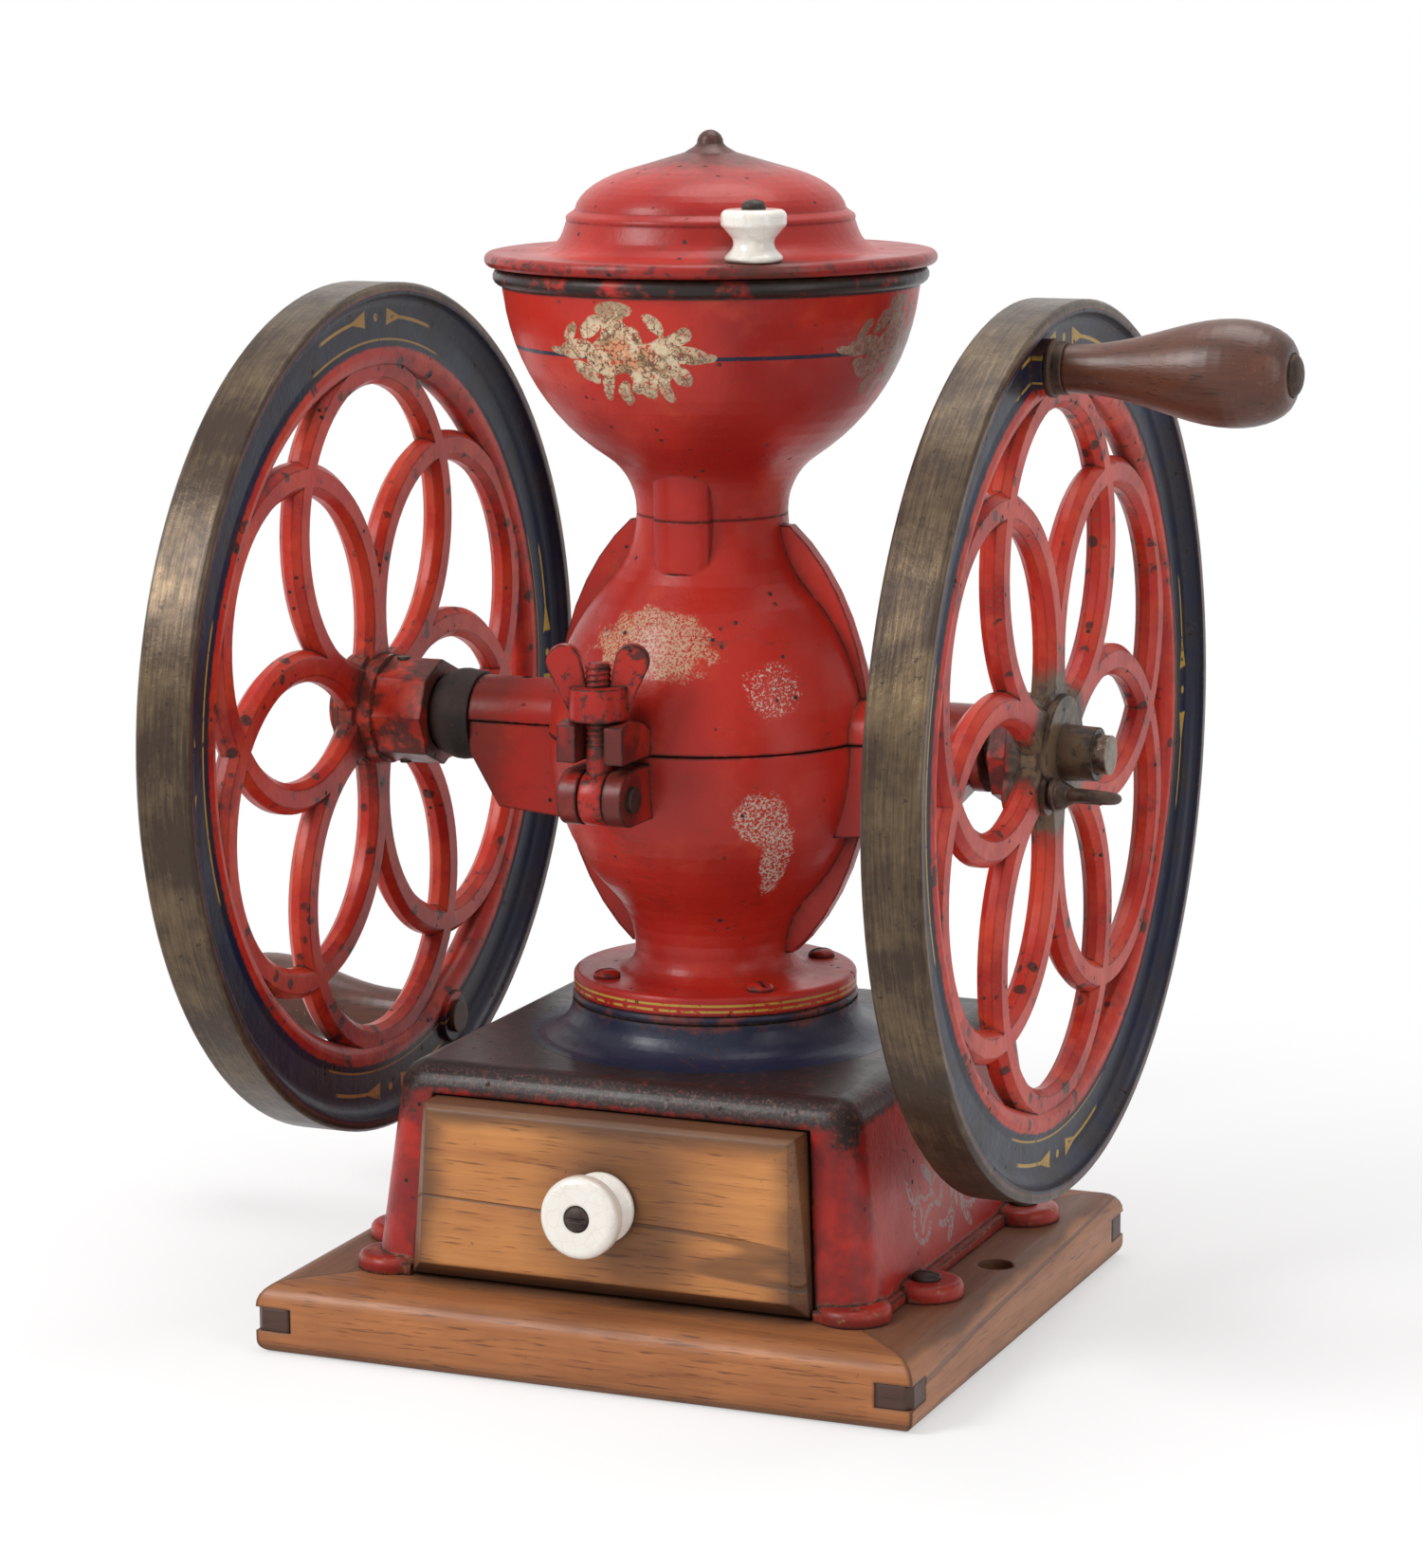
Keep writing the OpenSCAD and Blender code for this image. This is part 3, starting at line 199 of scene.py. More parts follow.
def dress(material, *nodes):
    for name in nodes:
        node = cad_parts[name]
        node.data.materials.clear()
        node.data.materials.append(material)


# %% [markdown]
# ## The camera first
# The camera stands a little right of the front and slightly above, as for a catalogue
# picture. It is placed before any finish, so that every trial render shows the same view.

# %% Camera
FOCAL_LENGTH, FRAME_HEIGHT = 4755.963, 1654  # both in pixels
SENSOR_MM = 36
turn, tilt, roll = (math.radians(a) for a in (22.918, 10.456, -0.363))
right = Vector((math.cos(turn), math.sin(turn), 0))
back = Vector((math.sin(turn) * math.cos(tilt), -math.cos(turn) * math.cos(tilt), math.sin(tilt)))
up = back.cross(right)
side = right * math.cos(roll) + up * math.sin(roll)
top = up * math.cos(roll) - right * math.sin(roll)
away, slide, lift = 1408.402 * MM, 0.88 * MM, 17.077 * MM
camera_data = bpy.data.cameras.new("camera")
camera_data.sensor_fit = "VERTICAL"
camera_data.sensor_height = SENSOR_MM
camera_data.lens = FOCAL_LENGTH * SENSOR_MM / FRAME_HEIGHT
camera = bpy.data.objects.new("camera", camera_data)
stand = back * away - side * slide - top * lift + Vector((0, 0, SHAFT_Z))
facing = Matrix(((side.x, top.x, back.x, 0), (side.y, top.y, back.y, 0), (side.z, top.z, back.z, 0), (0, 0, 0, 1)))
camera.matrix_world = Matrix.Translation(stand) @ facing
bpy.context.collection.objects.link(camera)
bpy.context.scene.camera = camera
print("camera", [round(v, 3) for v in camera.location])

# %% [markdown]
# ## A white studio
# The floor is white paper. Part of what the camera sees of it is its own even white, and the
# rest is lit, so a soft shadow stays under the mill and fades out before the paper ends.

# %% Floor, sky and lamps
scene = bpy.context.scene
scene.view_settings.view_transform = "Standard"

floor_mesh = bpy.data.meshes.new("floor")
FLOOR_REACH = 3.0
corners = [(x * FLOOR_REACH, y * FLOOR_REACH, 0) for x, y in ((-1, -1), (1, -1), (1, 1), (-1, 1))]
floor_mesh.from_pydata(corners, [], [(0, 1, 2, 3)])
floor = bpy.data.objects.new("floor", floor_mesh)
bpy.context.collection.objects.link(floor)

paper = Finish("paper")
paper.plug(paper.shader.inputs["Base Color"], (0.94, 0.94, 0.94))
paper.plug(paper.shader.inputs["Roughness"], 0.9)
paper.plug(paper.shader.inputs["Specular IOR Level"], 0.0)
glow = paper.node("ShaderNodeEmission", {}, {"Color": (1.0, 1.0, 1.0), "Strength": 1.0})
seen = paper.node("ShaderNodeLightPath", {}, {}, out="Is Camera Ray")
for way in ("Is Glossy Ray", "Is Transmission Ray"):
    seen = paper.both(1.0, seen + paper.node("ShaderNodeLightPath", {}, {}, out=way))
far = paper.ramp(paper.length(paper.x, paper.y), 0.22, 0.5)
share = seen * (0.50 + far * 0.50)
lit = Field(paper, paper.shader.outputs[0])
blend = paper.node("ShaderNodeMixShader", {}, {0: share, 1: lit, 2: glow})
paper.tree.links.new(blend.socket, paper.tree.nodes["Material Output"].inputs["Surface"])
floor_mesh.materials.append(paper.material)

world = bpy.data.worlds.new("studio")
scene.world = world
world.use_nodes = True
sky = world.node_tree
light_path = sky.nodes.new("ShaderNodeLightPath")
white = sky.nodes.new("ShaderNodeBackground")
white.inputs["Color"].default_value = (1, 1, 1, 1)
white.inputs["Strength"].default_value = 1.0
dim = sky.nodes["Background"]
dim.inputs["Color"].default_value = (1, 1, 1, 1)
dim.inputs["Strength"].default_value = 0.42
choose = sky.nodes.new("ShaderNodeMixShader")
seen_as_white = light_path.outputs["Is Camera Ray"]
for way in ("Is Glossy Ray", "Is Transmission Ray"):
    either = sky.nodes.new("ShaderNodeMath")
    either.operation = "MAXIMUM"
    sky.links.new(seen_as_white, either.inputs[0])
    sky.links.new(light_path.outputs[way], either.inputs[1])
    seen_as_white = either.outputs[0]
sky.links.new(seen_as_white, choose.inputs[0])
sky.links.new(dim.outputs[0], choose.inputs[1])
sky.links.new(white.outputs[0], choose.inputs[2])
sky.links.new(choose.outputs[0], sky.nodes["World Output"].inputs["Surface"])


def softbox(name, place, aim, width, height, power):
    data = bpy.data.lights.new(name, "AREA")
    data.shape = "RECTANGLE"
    data.size, data.size_y, data.energy = width, height, power
    lamp = bpy.data.objects.new(name, data)
    lamp.location = place
    lamp.rotation_euler = (Vector(aim) - Vector(place)).to_track_quat("-Z", "Y").to_euler()
    bpy.context.collection.objects.link(lamp)


AIM = (0, 0, 0.2)
softbox("key", (-0.9, -1.1, 1.2), AIM, width=0.6, height=0.8, power=19)
softbox("fill", (1.5, -0.6, 0.7), AIM, width=0.5, height=1.2, power=5)
softbox("overhead", (0.1, 0.2, 1.5), AIM, width=1.0, height=0.8, power=10)

# %% [markdown]
# ## Old enamel
# The iron was dipped in a bright red enamel. A century of use took it off the edges, dusted
# it brown in the corners and left pits where rust came through. The brown in the corners is
# also painted shade. The finish mixes its layers by masks: sound paint, brown grime and
# painted shade, scratches, dark chips on edges, and small dark pits.

# %% Enamel in layers
RED = (0.46, 0.022, 0.012)
DEEP_RED = (0.30, 0.012, 0.009)
RUST_BLACK = (0.022, 0.014, 0.012)
# The brown of grime and scratches, also laid as painted shade in the corners of the enamel.
GRIME_AND_SHADE = (0.075, 0.032, 0.022)
NAVY = (0.012, 0.016, 0.040)
BRASS = (0.28, 0.18, 0.08)
GOLD = (0.50, 0.30, 0.05)
SILVER = (0.55, 0.48, 0.40)


class Enamel(Finish):
    """Worn red enamel. Other paints go over the red with cover() before worn() closes it."""

    ROUGHNESS = 0.36

    def __init__(self, name, edge=1.4 * MM, chips=1.0, specular=0.25):
        super().__init__(name, specular=specular, rounding=edge)
        cloud = self.noise(55 * MM, 3.0)
        self.colour = self.mix(DEEP_RED, RED, self.ramp(cloud, 0.30, 0.62))
        bright = self.ramp(self.noise(23 * MM, 4.0, 0.65, seed=15.0), 0.54, 0.70)
        self.cover((0.52, 0.050, 0.018), bright * 0.55)
        dark = self.ramp(self.noise(11 * MM, 5.0, 0.7, seed=16.0), 0.58, 0.74)
        self.cover((0.16, 0.012, 0.011), dark * 0.45)
        self.ragged = self.noise(3.2 * MM, 4.0, 0.65)
        self.broad = self.noise(16 * MM, 3.0, 0.6, seed=2.0)
        self.wear = self.edges()
        self.chips = chips

    def cover(self, colour, share):
        self.colour = self.mix(self.colour, colour, share)

    def ragged_edge(self, value, start, end, spread=0.6):
        """A mask like ramp(), whose edge wanders as brushed and worn paint does."""
        return self.ramp(value + (self.ragged - 0.5) * (spread * (end - start) * 2), start, end)

    def worn(self, grime_and_shade=1.0, extra_chips=None):
        chip = self.ramp(self.wear * 0.85 + (self.ragged - 0.5) * 1.5 + (self.broad - 0.5) * 1.6, 0.62, 0.74)
        pits = self.both(self.ramp(self.cells(4.6 * MM), 0.20, 0.12),
                         self.ramp(self.broad + (self.ragged - 0.5) * 0.3, 0.53, 0.60))
        gone = self.either(chip, pits) * self.chips
        if extra_chips is not None:
            gone = self.either(gone, extra_chips)
        # Painted shade with grime: brown where the AO node finds the point closed in by surfaces within 9 mm,
        # broken up by noise.
        crevice_dirt_and_shade = self.crevice(9 * MM) * self.ramp(self.noise(5 * MM, 3.0, seed=5.0), 0.25, 0.6)
        speck = self.ramp(self.noise(0.9 * MM, 2.0, seed=7.0), 0.62, 0.70) * 0.6
        self.cover(GRIME_AND_SHADE, self.soft(crevice_dirt_and_shade * (0.85 * grime_and_shade) + speck * self.ramp(self.broad, 0.42, 0.62)))
        slanted = self.vector(self.x * 0.6 + self.z * 2.2, self.y * 0.6 - self.z * 1.6, self.z * 0.12)
        hairs = self.noise(9 * MM, 2.0, 0.5, at=slanted, seed=8.0)
        scratch = self.ramp(self.size(hairs - 0.5), 0.008, 0.003) * self.ramp(self.broad, 0.54, 0.62)
        self.cover(GRIME_AND_SHADE, scratch * (0.5 * grime_and_shade))
        rust = self.mix(RUST_BLACK, (0.10, 0.045, 0.025), self.ramp(self.noise(1.5 * MM, 2.0, seed=9.0), 0.5, 0.7))
        self.cover(rust, gone)
        self.bump(1.0 - gone, 0.12 * MM)
        self.bump(self.noise(2.4 * MM, 4.0, 0.65, seed=11.0), 0.16 * MM)
        self.bump(self.noise(9 * MM, 2.0, seed=12.0), 0.25 * MM)
        uneven = self.ROUGHNESS + (self.broad - 0.5) * 0.3 + (self.ragged - 0.5) * 0.12 + crevice_dirt_and_shade * 0.3 + gone * 0.25
        return self.done(self.colour, uneven, coat=(1.0 - gone) * (1.0 - crevice_dirt_and_shade) * 0.12)


# %% [markdown]
# The case lost most of its gilded and silvered transfers, which left patches of pale specks.
# A patch is an ellipse on the skin of the case, eaten away by noise: its rim first, then fine
# holes all over it.

# %% A worn patch on a round body
def patch(finish, turn_deg, z_mm, half_wide, half_high, radius, fullness=0.5):
    """A mask over an ellipse at a turn (degrees from +X) and height over the shaft (mm)."""
    heading = finish.angle(finish.y, finish.x) * (180 / math.pi)
    across = ((heading - turn_deg + 540) % 360 - 180) * (math.pi / 180 * radius)
    rise = finish.z * 1000 - (SHAFT_MM + z_mm)
    away = finish.length(across / half_wide, rise / half_high)
    eaten = away + (finish.noise(7 * MM, 4.0, 0.7, seed=turn_deg) - 0.5) * 1.5
    inside = finish.ramp(eaten, 1.05, 0.80)
    flecks = finish.ramp(finish.noise(0.8 * MM, 3.0, 0.7, seed=21.0), 0.60 - 0.2 * fullness, 0.66 - 0.2 * fullness)
    return inside * flecks


cases = Enamel("case enamel")
gilt = cases.mix((0.62, 0.46, 0.30), (0.42, 0.24, 0.13), cases.noise(2 * MM, 3.0, seed=3.0))
cases.cover(gilt, patch(cases, -95, 32, 20, 11, 41, 0.75) * 0.85)
cases.cover(SILVER, patch(cases, -46, 19, 9, 9, 47, 0.35) * 0.9)
cases.cover(SILVER, patch(cases, -50, -20, 9, 8, 48, 0.6) * 0.9)
cases.cover(SILVER, patch(cases, -42, -33, 5, 13, 43, 0.6) * 0.9)

along = cases.size(cases.x) * 1000
soot = cases.ramp(along + (cases.broad - 0.5) * 30, 58, 74) * 0.6
cases.cover((0.06, 0.022, 0.016), soot)
clamp_soot = cases.ramp(cases.y * 1000 + (cases.ragged - 0.5) * 14, -54, -62) * 0.75
cases.cover((0.035, 0.016, 0.013), clamp_soot * cases.ramp(cases.broad, 0.36, 0.56))
for below_shaft, kept in ((78.4, 0.36), (80.2, 0.40)):
    gold_line = cases.both(cases.ramp(cases.size(cases.z * 1000 - (SHAFT_MM - below_shaft)), 0.45, 0.30),
                           cases.ramp(cases.length(cases.x, cases.y), 0.0435, 0.0442))
    cases.cover(GOLD, gold_line * cases.ramp(cases.ragged, kept, kept + 0.10))
case_enamel = cases.worn()
dress(case_enamel, "upper_case", "lower_case", "bearing_cap")
print("cases dressed")

# %% [markdown]
# ## Hopper and lid
# The hopper has a black bead at its rim, a thin navy line round its belly and four floral
# transfers. A transfer here is a general spray: round blossoms with leaves to both sides,
# drawn with circles and ellipses, then rubbed away in specks.

# %% Flowers from circles and ellipses
def blossom(finish, across, rise, size_mm):
    """A disc with five shallow petals."""
    away = finish.length(across, rise)
    petals = finish.angle(rise, across).math("COSINE", finish.angle(rise, across) * 5.0)
    return finish.ramp(away - petals * (size_mm * 0.16), size_mm, size_mm * 0.9)


def leaf(finish, across, rise, lean, long_mm, wide_mm):
    """An ellipse that leans by some degrees."""
    c, s = math.cos(math.radians(lean)), math.sin(math.radians(lean))
    u, v = across * c + rise * s, rise * c - across * s
    return finish.ramp(finish.length(u / long_mm, v / wide_mm), 1.05, 0.9)


hopper = Enamel("hopper enamel", edge=1.6 * MM, chips=0.8)
heading = hopper.angle(hopper.y, hopper.x) * (180 / math.pi)
BELLY_R, LINE_HEIGHT = 60, 122.0  # in mm, from the axis and from the shaft
across = ((heading + 1.5 + 45 + 720) % 90 - 45) * (math.pi / 180 * BELLY_R)
rise = (hopper.z - SHAFT_Z) * 1000 - LINE_HEIGHT
line = hopper.ramp(hopper.size(rise + 1.2), 0.75, 0.5)
hopper.cover(NAVY, line * hopper.ramp(hopper.ragged, 0.30, 0.40))
wobble = (hopper.noise(6 * MM, 3.0, seed=31.0) - 0.5) * 5.0
BLOSSOMS = ((0, 0, 8.5), (-9.5, -2.0, 6.5), (10, -1.0, 6.5), (-3, 7.5, 5.5), (5, -7.5, 5.5))
LEAVES = ((-18, 1, 10, 7, 3.0), (-16, -6, -35, 5, 2.6), (-19, 6, 50, 4, 1.8), (-11, 8, 40, 5, 2.6),
          (-9, -10, 65, 5, 2.4), (18, 0, -8, 7, 2.8), (16, 5, 35, 5, 2.4), (16, -6, -40, 5, 2.4),
          (24, -1, 5, 4, 1.4), (9, 9, -50, 4, 2.2), (11, -10, -70, 5, 2.2), (-3, -12, 85, 4, 2.4),
          (-3, 13, 0, 6, 2.8), (-25, 0, -8, 4, 1.3))
spray = None
for u, v, size in BLOSSOMS:
    shape = blossom(hopper, across - u + wobble, rise - v + wobble, size)
    spray = shape if spray is None else hopper.either(spray, shape)
for u, v, lean, long_mm, wide in LEAVES:
    spray = hopper.either(spray, leaf(hopper, across - u + wobble, rise - v, lean, long_mm, wide))
rubbed = hopper.ramp(hopper.noise(1.5 * MM, 4.0, 0.8, seed=33.0), 0.38, 0.46)
from_middle = hopper.length(across / 26, rise / 14)
petal = hopper.mix((0.60, 0.47, 0.30), (0.62, 0.27, 0.13), hopper.ramp(from_middle, 0.55, 0.15))
petal = hopper.mix(petal, (0.33, 0.22, 0.11), hopper.ramp(hopper.noise(5 * MM, 3.0, 0.7, seed=35.0), 0.48, 0.62))
folds = hopper.noise(3.2 * MM, 2.0, 0.5, seed=37.0)
petal = hopper.mix(petal, (0.70, 0.58, 0.40), hopper.ramp(folds, 0.55, 0.66) * 0.8)
veins = hopper.either(hopper.ramp(hopper.size(folds - 0.5), 0.030, 0.012),
                      hopper.ramp(hopper.noise(1.3 * MM, 2.0, seed=36.0), 0.60, 0.66))
petal = hopper.mix(petal, (0.10, 0.040, 0.022), veins * 0.85)
petal = hopper.mix(petal, (0.30, 0.19, 0.12), hopper.ramp(from_middle, 0.60, 1.0) * 0.55)
# Painted shade: the transfers on the right and back of the hopper, away from the key lamp, are darkened.
shaded_side = hopper.ramp(heading, -40, -15) * 0.75
petal = hopper.mix(petal, (0.16, 0.075, 0.06), shaded_side)
hopper.cover(petal, spray * rubbed)
bead = hopper.ramp(hopper.z, RIM_Z - 6.4 * MM, RIM_Z - 5.6 * MM)
hopper.cover((0.018, 0.012, 0.011), bead * hopper.ramp(hopper.broad + (hopper.ragged - 0.5) * 0.5, 0.72, 0.52))
hopper_enamel = hopper.worn(grime_and_shade=0.7)
dress(hopper_enamel, "hopper")

lid = Enamel("lid enamel", edge=1.5 * MM)
radius = lid.length(lid.x, lid.y) * 1000
crown = high("lid", 2)
# Painted shade: the red of the lid turns darker towards its right side (+x), away from the key lamp.
lid.cover((0.33, 0.015, 0.011), lid.ramp(lid.x + (lid.broad - 0.5) * 0.05, 0.0, 0.05) * 0.55)
soot = lid.ramp(lid.z + (lid.ragged - 0.5) * 0.012, crown - 0.016, crown - 0.004)
lid.cover((0.030, 0.015, 0.013), soot * 0.92)
lid.cover(GRIME_AND_SHADE, lid.ramp(radius + (lid.broad - 0.5) * 14, 26, 12) * 0.45)
rim_worn = lid.ramp(lid.broad + (lid.ragged - 0.5) * 1.2, 0.46, 0.54)
lid.cover((0.035, 0.016, 0.013), lid.ramp(radius + (lid.ragged - 0.5) * 7.0, 68.4, 69.8) * rim_worn)
lid.cover((0.20, 0.014, 0.012), lid.ramp(radius + (lid.broad - 0.5) * 10, 52, 62) * 0.55)
by_knob = lid.length(lid.x - middle("lid_knob", 0), lid.y - middle("lid_knob", 1)) * 1000
lid.cover((0.07, 0.028, 0.020), lid.ramp(by_knob + (lid.broad - 0.5) * 16, 19, 9) * 0.7)
lid_enamel = lid.worn(grime_and_shade=0.9)
dress(lid_enamel, "lid")
print("hopper and lid dressed")

# %% [markdown]
# ## The cast box
# One casting wears three colours: near black on its flat top and over the rolled edge, navy
# on the bell, red on the sides and feet. The border between black and red wanders. The red
# of the feet is rubbed to a brassy brown, and each side carries a pair of faded scrolls.

# %% Box, bell and feet
box = Enamel("box enamel", edge=2.2 * MM)
height = box.z * 1000
radius = box.length(box.x, box.y) * 1000


def arc_line(finish, u, v, centre, radius_mm, start, end, width):
    """A line along part of a circle, its angles in degrees."""
    du, dv = u - centre[0], v - centre[1]
    turn = (finish.angle(dv, du) * (180 / math.pi) + (360 - start)) % 360
    near = finish.ramp(finish.size(finish.length(du, dv) - radius_mm), width, width * 0.6)
    return near * (turn < (end - start) % 360)


CURLS = (((12, 0), 9, 20, 300, 1.5), ((15, 3), 4, 180, 480, 1.3), ((30, -3), 7, 200, 460, 1.3),
         ((33, -1), 3, 0, 250, 1.2), ((20, -14), 13, 30, 120, 1.2), ((4, 9), 7, -80, 80, 1.2),
         ((24, 10), 8, 190, 330, 1.0))
BUDS = (((22, 9), 40, 6, 1.9), ((7, -11), -50, 6, 1.9), ((38, 7), 60, 5, 1.6), ((0, 2), 90, 9, 1.5))
SCROLL_HEIGHT = 44
scrolls = None
u = box.size(box.y) * 1000
v = height - SCROLL_HEIGHT
for centre, r, start, end, width in CURLS:
    line = arc_line(box, u, v, centre, r, start, end, width)
    scrolls = line if scrolls is None else box.either(scrolls, line)
for at, lean, long_mm, wide in BUDS:
    scrolls = box.either(scrolls, leaf(box, u - at[0], v - at[1], lean, long_mm, wide))
on_side = box.ramp(box.size(box.x), 0.070, 0.072)
rubbed = box.ramp(box.noise(1.6 * MM, 3.0, 0.7, seed=41.0), 0.44, 0.50)
box.cover((0.34, 0.22, 0.20), scrolls * on_side * rubbed)
dirty_front = box.ramp(box.y, -0.064, -0.070) * box.ramp(box.broad + (box.ragged - 0.5) * 0.4, 0.34, 0.60)
box.cover((0.15, 0.012, 0.011), dirty_front * 0.7)

black_top = box.ragged_edge(height, 77.5, 80.5, 1.2)
scuffed = box.ramp(box.noise(4 * MM, 4.0, 0.7, seed=43.0), 0.57, 0.63) * 0.6
box.cover(box.mix((0.020, 0.013, 0.013), (0.10, 0.030, 0.022), scuffed), black_top)
roll = box.both(box.ramp(height, 78.0, 81.0), box.ramp(height, 86.7, 85.0))
speckle = box.ramp(box.noise(1.1 * MM, 3.0, 0.7, seed=45.0), 0.52, 0.60)
box.cover((0.13, 0.055, 0.042), roll * speckle * 0.7)
box.cover((0.30, 0.24, 0.20), roll * speckle * box.ramp(box.ragged, 0.58, 0.64) * 0.35)
on_bell = box.both(box.ramp(radius, 59.5, 58.0), box.ramp(height, 80, 84))
bell_worn = box.both(box.ramp(height + (box.ragged - 0.5) * 9, 95.5, 99.0), box.ramp(box.broad, 0.50, 0.62))
bell_spots = box.ramp(box.noise(5 * MM, 4.0, 0.7, seed=47.0), 0.66, 0.70)
box.cover(box.mix(NAVY, (0.17, 0.035, 0.028), box.either(bell_worn, bell_spots)), on_bell)
foot = box.ramp(height, 28.6, 27.2)
box.cover(BRASS, foot * box.either(box.wear, box.ramp(box.ragged, 0.55, 0.66)) * 0.75)
corner = box.both(box.ramp(box.size(box.x) * 1000, 66, 73), box.ramp(box.size(box.y) * 1000, 64, 72))
chipped = box.both(corner, box.ramp(height + (box.ragged - 0.5) * 26, 68, 77))
box_enamel = box.worn(extra_chips=chipped * box.ramp(box.broad, 0.40, 0.50))
dress(box_enamel, "pedestal_box")
print("box dressed")

# %% [markdown]
# ## Flywheels
# The wheels are painted by radius. Outside is bare iron, polished brown by belts and hands;
# then a navy band with gold drops at four places, a thin gold line, a red inner rim and red
# spokes. Distances are measured from the shaft, so one formula serves both wheels. Only the
# right wheel has the bare bronze star and boss round its hub, so that mask also looks at x.

# %% Paint for the wheels
wheel = Enamel("wheel enamel", edge=1.3 * MM, specular=0.16)
# Radii in mm: of the navy band, of the gold drops and of the thin gold line.
NAVY_INNER, NAVY_OUTER, DECOR_R, PIN_R = 115.4, 134.2, 125.5, 118.3
rise, deep = (wheel.z - SHAFT_Z) * 1000, wheel.y * 1000
radius = wheel.length(rise, deep)
turn = wheel.angle(rise, deep) * (180 / math.pi)
rim = WHEEL_R * 1000

dusty = wheel.ramp(wheel.noise(1.0 * MM, 2.0, seed=51.0), 0.55, 0.66) * wheel.ramp(wheel.broad, 0.45, 0.60)
wheel.cover((0.16, 0.075, 0.055), dusty * 0.6)
inner_wall = wheel.both(wheel.ramp(radius, 90, 104),
                        wheel.ramp(wheel.broad + (wheel.ragged - 0.5) * 0.6, 0.50, 0.62))
wheel.cover((0.11, 0.020, 0.016), inner_wall * 0.45)
bright = wheel.ramp(wheel.noise(19 * MM, 4.0, 0.65, seed=57.0), 0.42, 0.62)
wheel.cover((0.56, 0.060, 0.022), bright * 0.55)
some_places = wheel.ramp(wheel.broad + (wheel.ragged - 0.5) * 0.4, 0.46, 0.54)
black_chips = wheel.ramp(wheel.cells(7.5 * MM), 0.30, 0.22) * some_places
wheel.cover((0.028, 0.016, 0.014), black_chips * 0.85)
hub = wheel.ramp(radius + (wheel.ragged - 0.5) * 16, 34, 16)
sooty = wheel.ramp(wheel.broad + (wheel.ragged - 0.5) * 0.5, 0.40, 0.58)
wheel.cover((0.045, 0.022, 0.018), hub * sooty * 0.85)
outer_side = wheel.x * 1000 - RIGHT_WHEEL_X * 1000
star = wheel.both(wheel.ramp(radius + (wheel.ragged - 0.5) * 14 + (wheel.broad - 0.5) * 10, 29, 21),
                  wheel.ramp(wheel.size(outer_side), 7.0, 6.0))
boss = wheel.both(wheel.ramp(radius, 18.6, 17.6), wheel.ramp(outer_side, 2.8, 3.1))
tarnish = wheel.ramp(wheel.broad + (wheel.ragged - 0.5) * 0.7, 0.42, 0.62)
bronze = wheel.mix((0.115, 0.085, 0.050), (0.035, 0.028, 0.024), tarnish)
wheel.cover(bronze, wheel.either(star, boss) * 0.95)
# Painted shade: the bronze star and boss turn near black where the AO node finds them closed in.
wheel.cover((0.018, 0.016, 0.020), wheel.either(star, boss) * wheel.crevice(5 * MM) * 0.8)

navy_band = wheel.both(wheel.ragged_edge(radius, NAVY_INNER, NAVY_INNER + 1.0, 0.8),
                       wheel.ramp(radius, NAVY_OUTER, NAVY_OUTER - 0.6))
band = wheel.mix((0.009, 0.013, 0.036), (0.018, 0.017, 0.024), wheel.ramp(wheel.broad, 0.4, 0.65))
wheel.cover(band, navy_band)
quarter = (turn + 45 + 720) % 90 - 45
along_rim = quarter * (math.pi / 180 * 125)
across_rim = radius - DECOR_R
drops = None
for s in (-1, 1):
    reach_mm = along_rim * s - 9
    swell = wheel.size(across_rim) - (2.3 - reach_mm * 0.26)
    drop = wheel.both(wheel.ramp(swell, 0.3, -0.2),
                      wheel.both(wheel.ramp(reach_mm, -2.0, -1.0), wheel.ramp(reach_mm, 9.5, 8.5)))
    drops = drop if drops is None else wheel.either(drops, drop)
tails = wheel.both(wheel.ramp(wheel.size(across_rim), 0.7, 0.4),
                   wheel.both(wheel.ramp(wheel.size(along_rim), 16, 17),
                              wheel.ramp(wheel.size(along_rim), 40, 36)))
dots = wheel.ramp(wheel.length(along_rim, across_rim), 1.5, 1.1)
pin = wheel.both(wheel.ramp(wheel.size(radius - PIN_R), 0.45, 0.25), wheel.ramp(wheel.size(along_rim), 48, 44))
gold_lines = wheel.either(wheel.either(drops, tails), dots)
gold_kept = wheel.ramp(wheel.ragged, 0.33, 0.42)
wheel.cover(GOLD, wheel.either(gold_lines, pin * 0.8) * gold_kept * navy_band * 0.9)

tread = wheel.ramp(radius, rim - 2.9, rim - 2.2)
turned = wheel.noise(1.0, 4.0, 0.65, at=wheel.vector(wheel.x * 900, turn * 0.10, 0.0), seed=53.0)
fine_lines = wheel.noise(1.0, 2.0, 0.5, at=wheel.vector(wheel.x * 2600, turn * 0.25, 3.0), seed=54.0)
blotches = wheel.noise(24 * MM, 5.0, 0.68, seed=55.0)
patina = wheel.soft((blotches - 0.42) * 2.4 + (turned - 0.5) * 1.5 + (fine_lines - 0.5) * 0.5)
iron = wheel.mix((0.050, 0.032, 0.022), (0.21, 0.145, 0.080), patina)
polished = wheel.ramp(turned, 0.60, 0.74) * wheel.ramp(blotches, 0.52, 0.68)
iron = wheel.mix(iron, (0.42, 0.33, 0.23), polished * 0.6)
spots = wheel.ramp(wheel.noise(2.2 * MM, 3.0, 0.65, seed=56.0), 0.62, 0.68)
iron = wheel.mix(iron, (0.028, 0.018, 0.014), spots * 0.7)
shaded_foot = wheel.ramp(wheel.size(turn + 75), 70, 25)
iron = wheel.mix(iron, (0.040, 0.026, 0.022), shaded_foot * 0.65)
wheel.cover(iron, tread)
wheel.chips = 1.0 - tread
wheel.bump(turned, 0.10 * MM, tread)
wheel_enamel = wheel.worn()
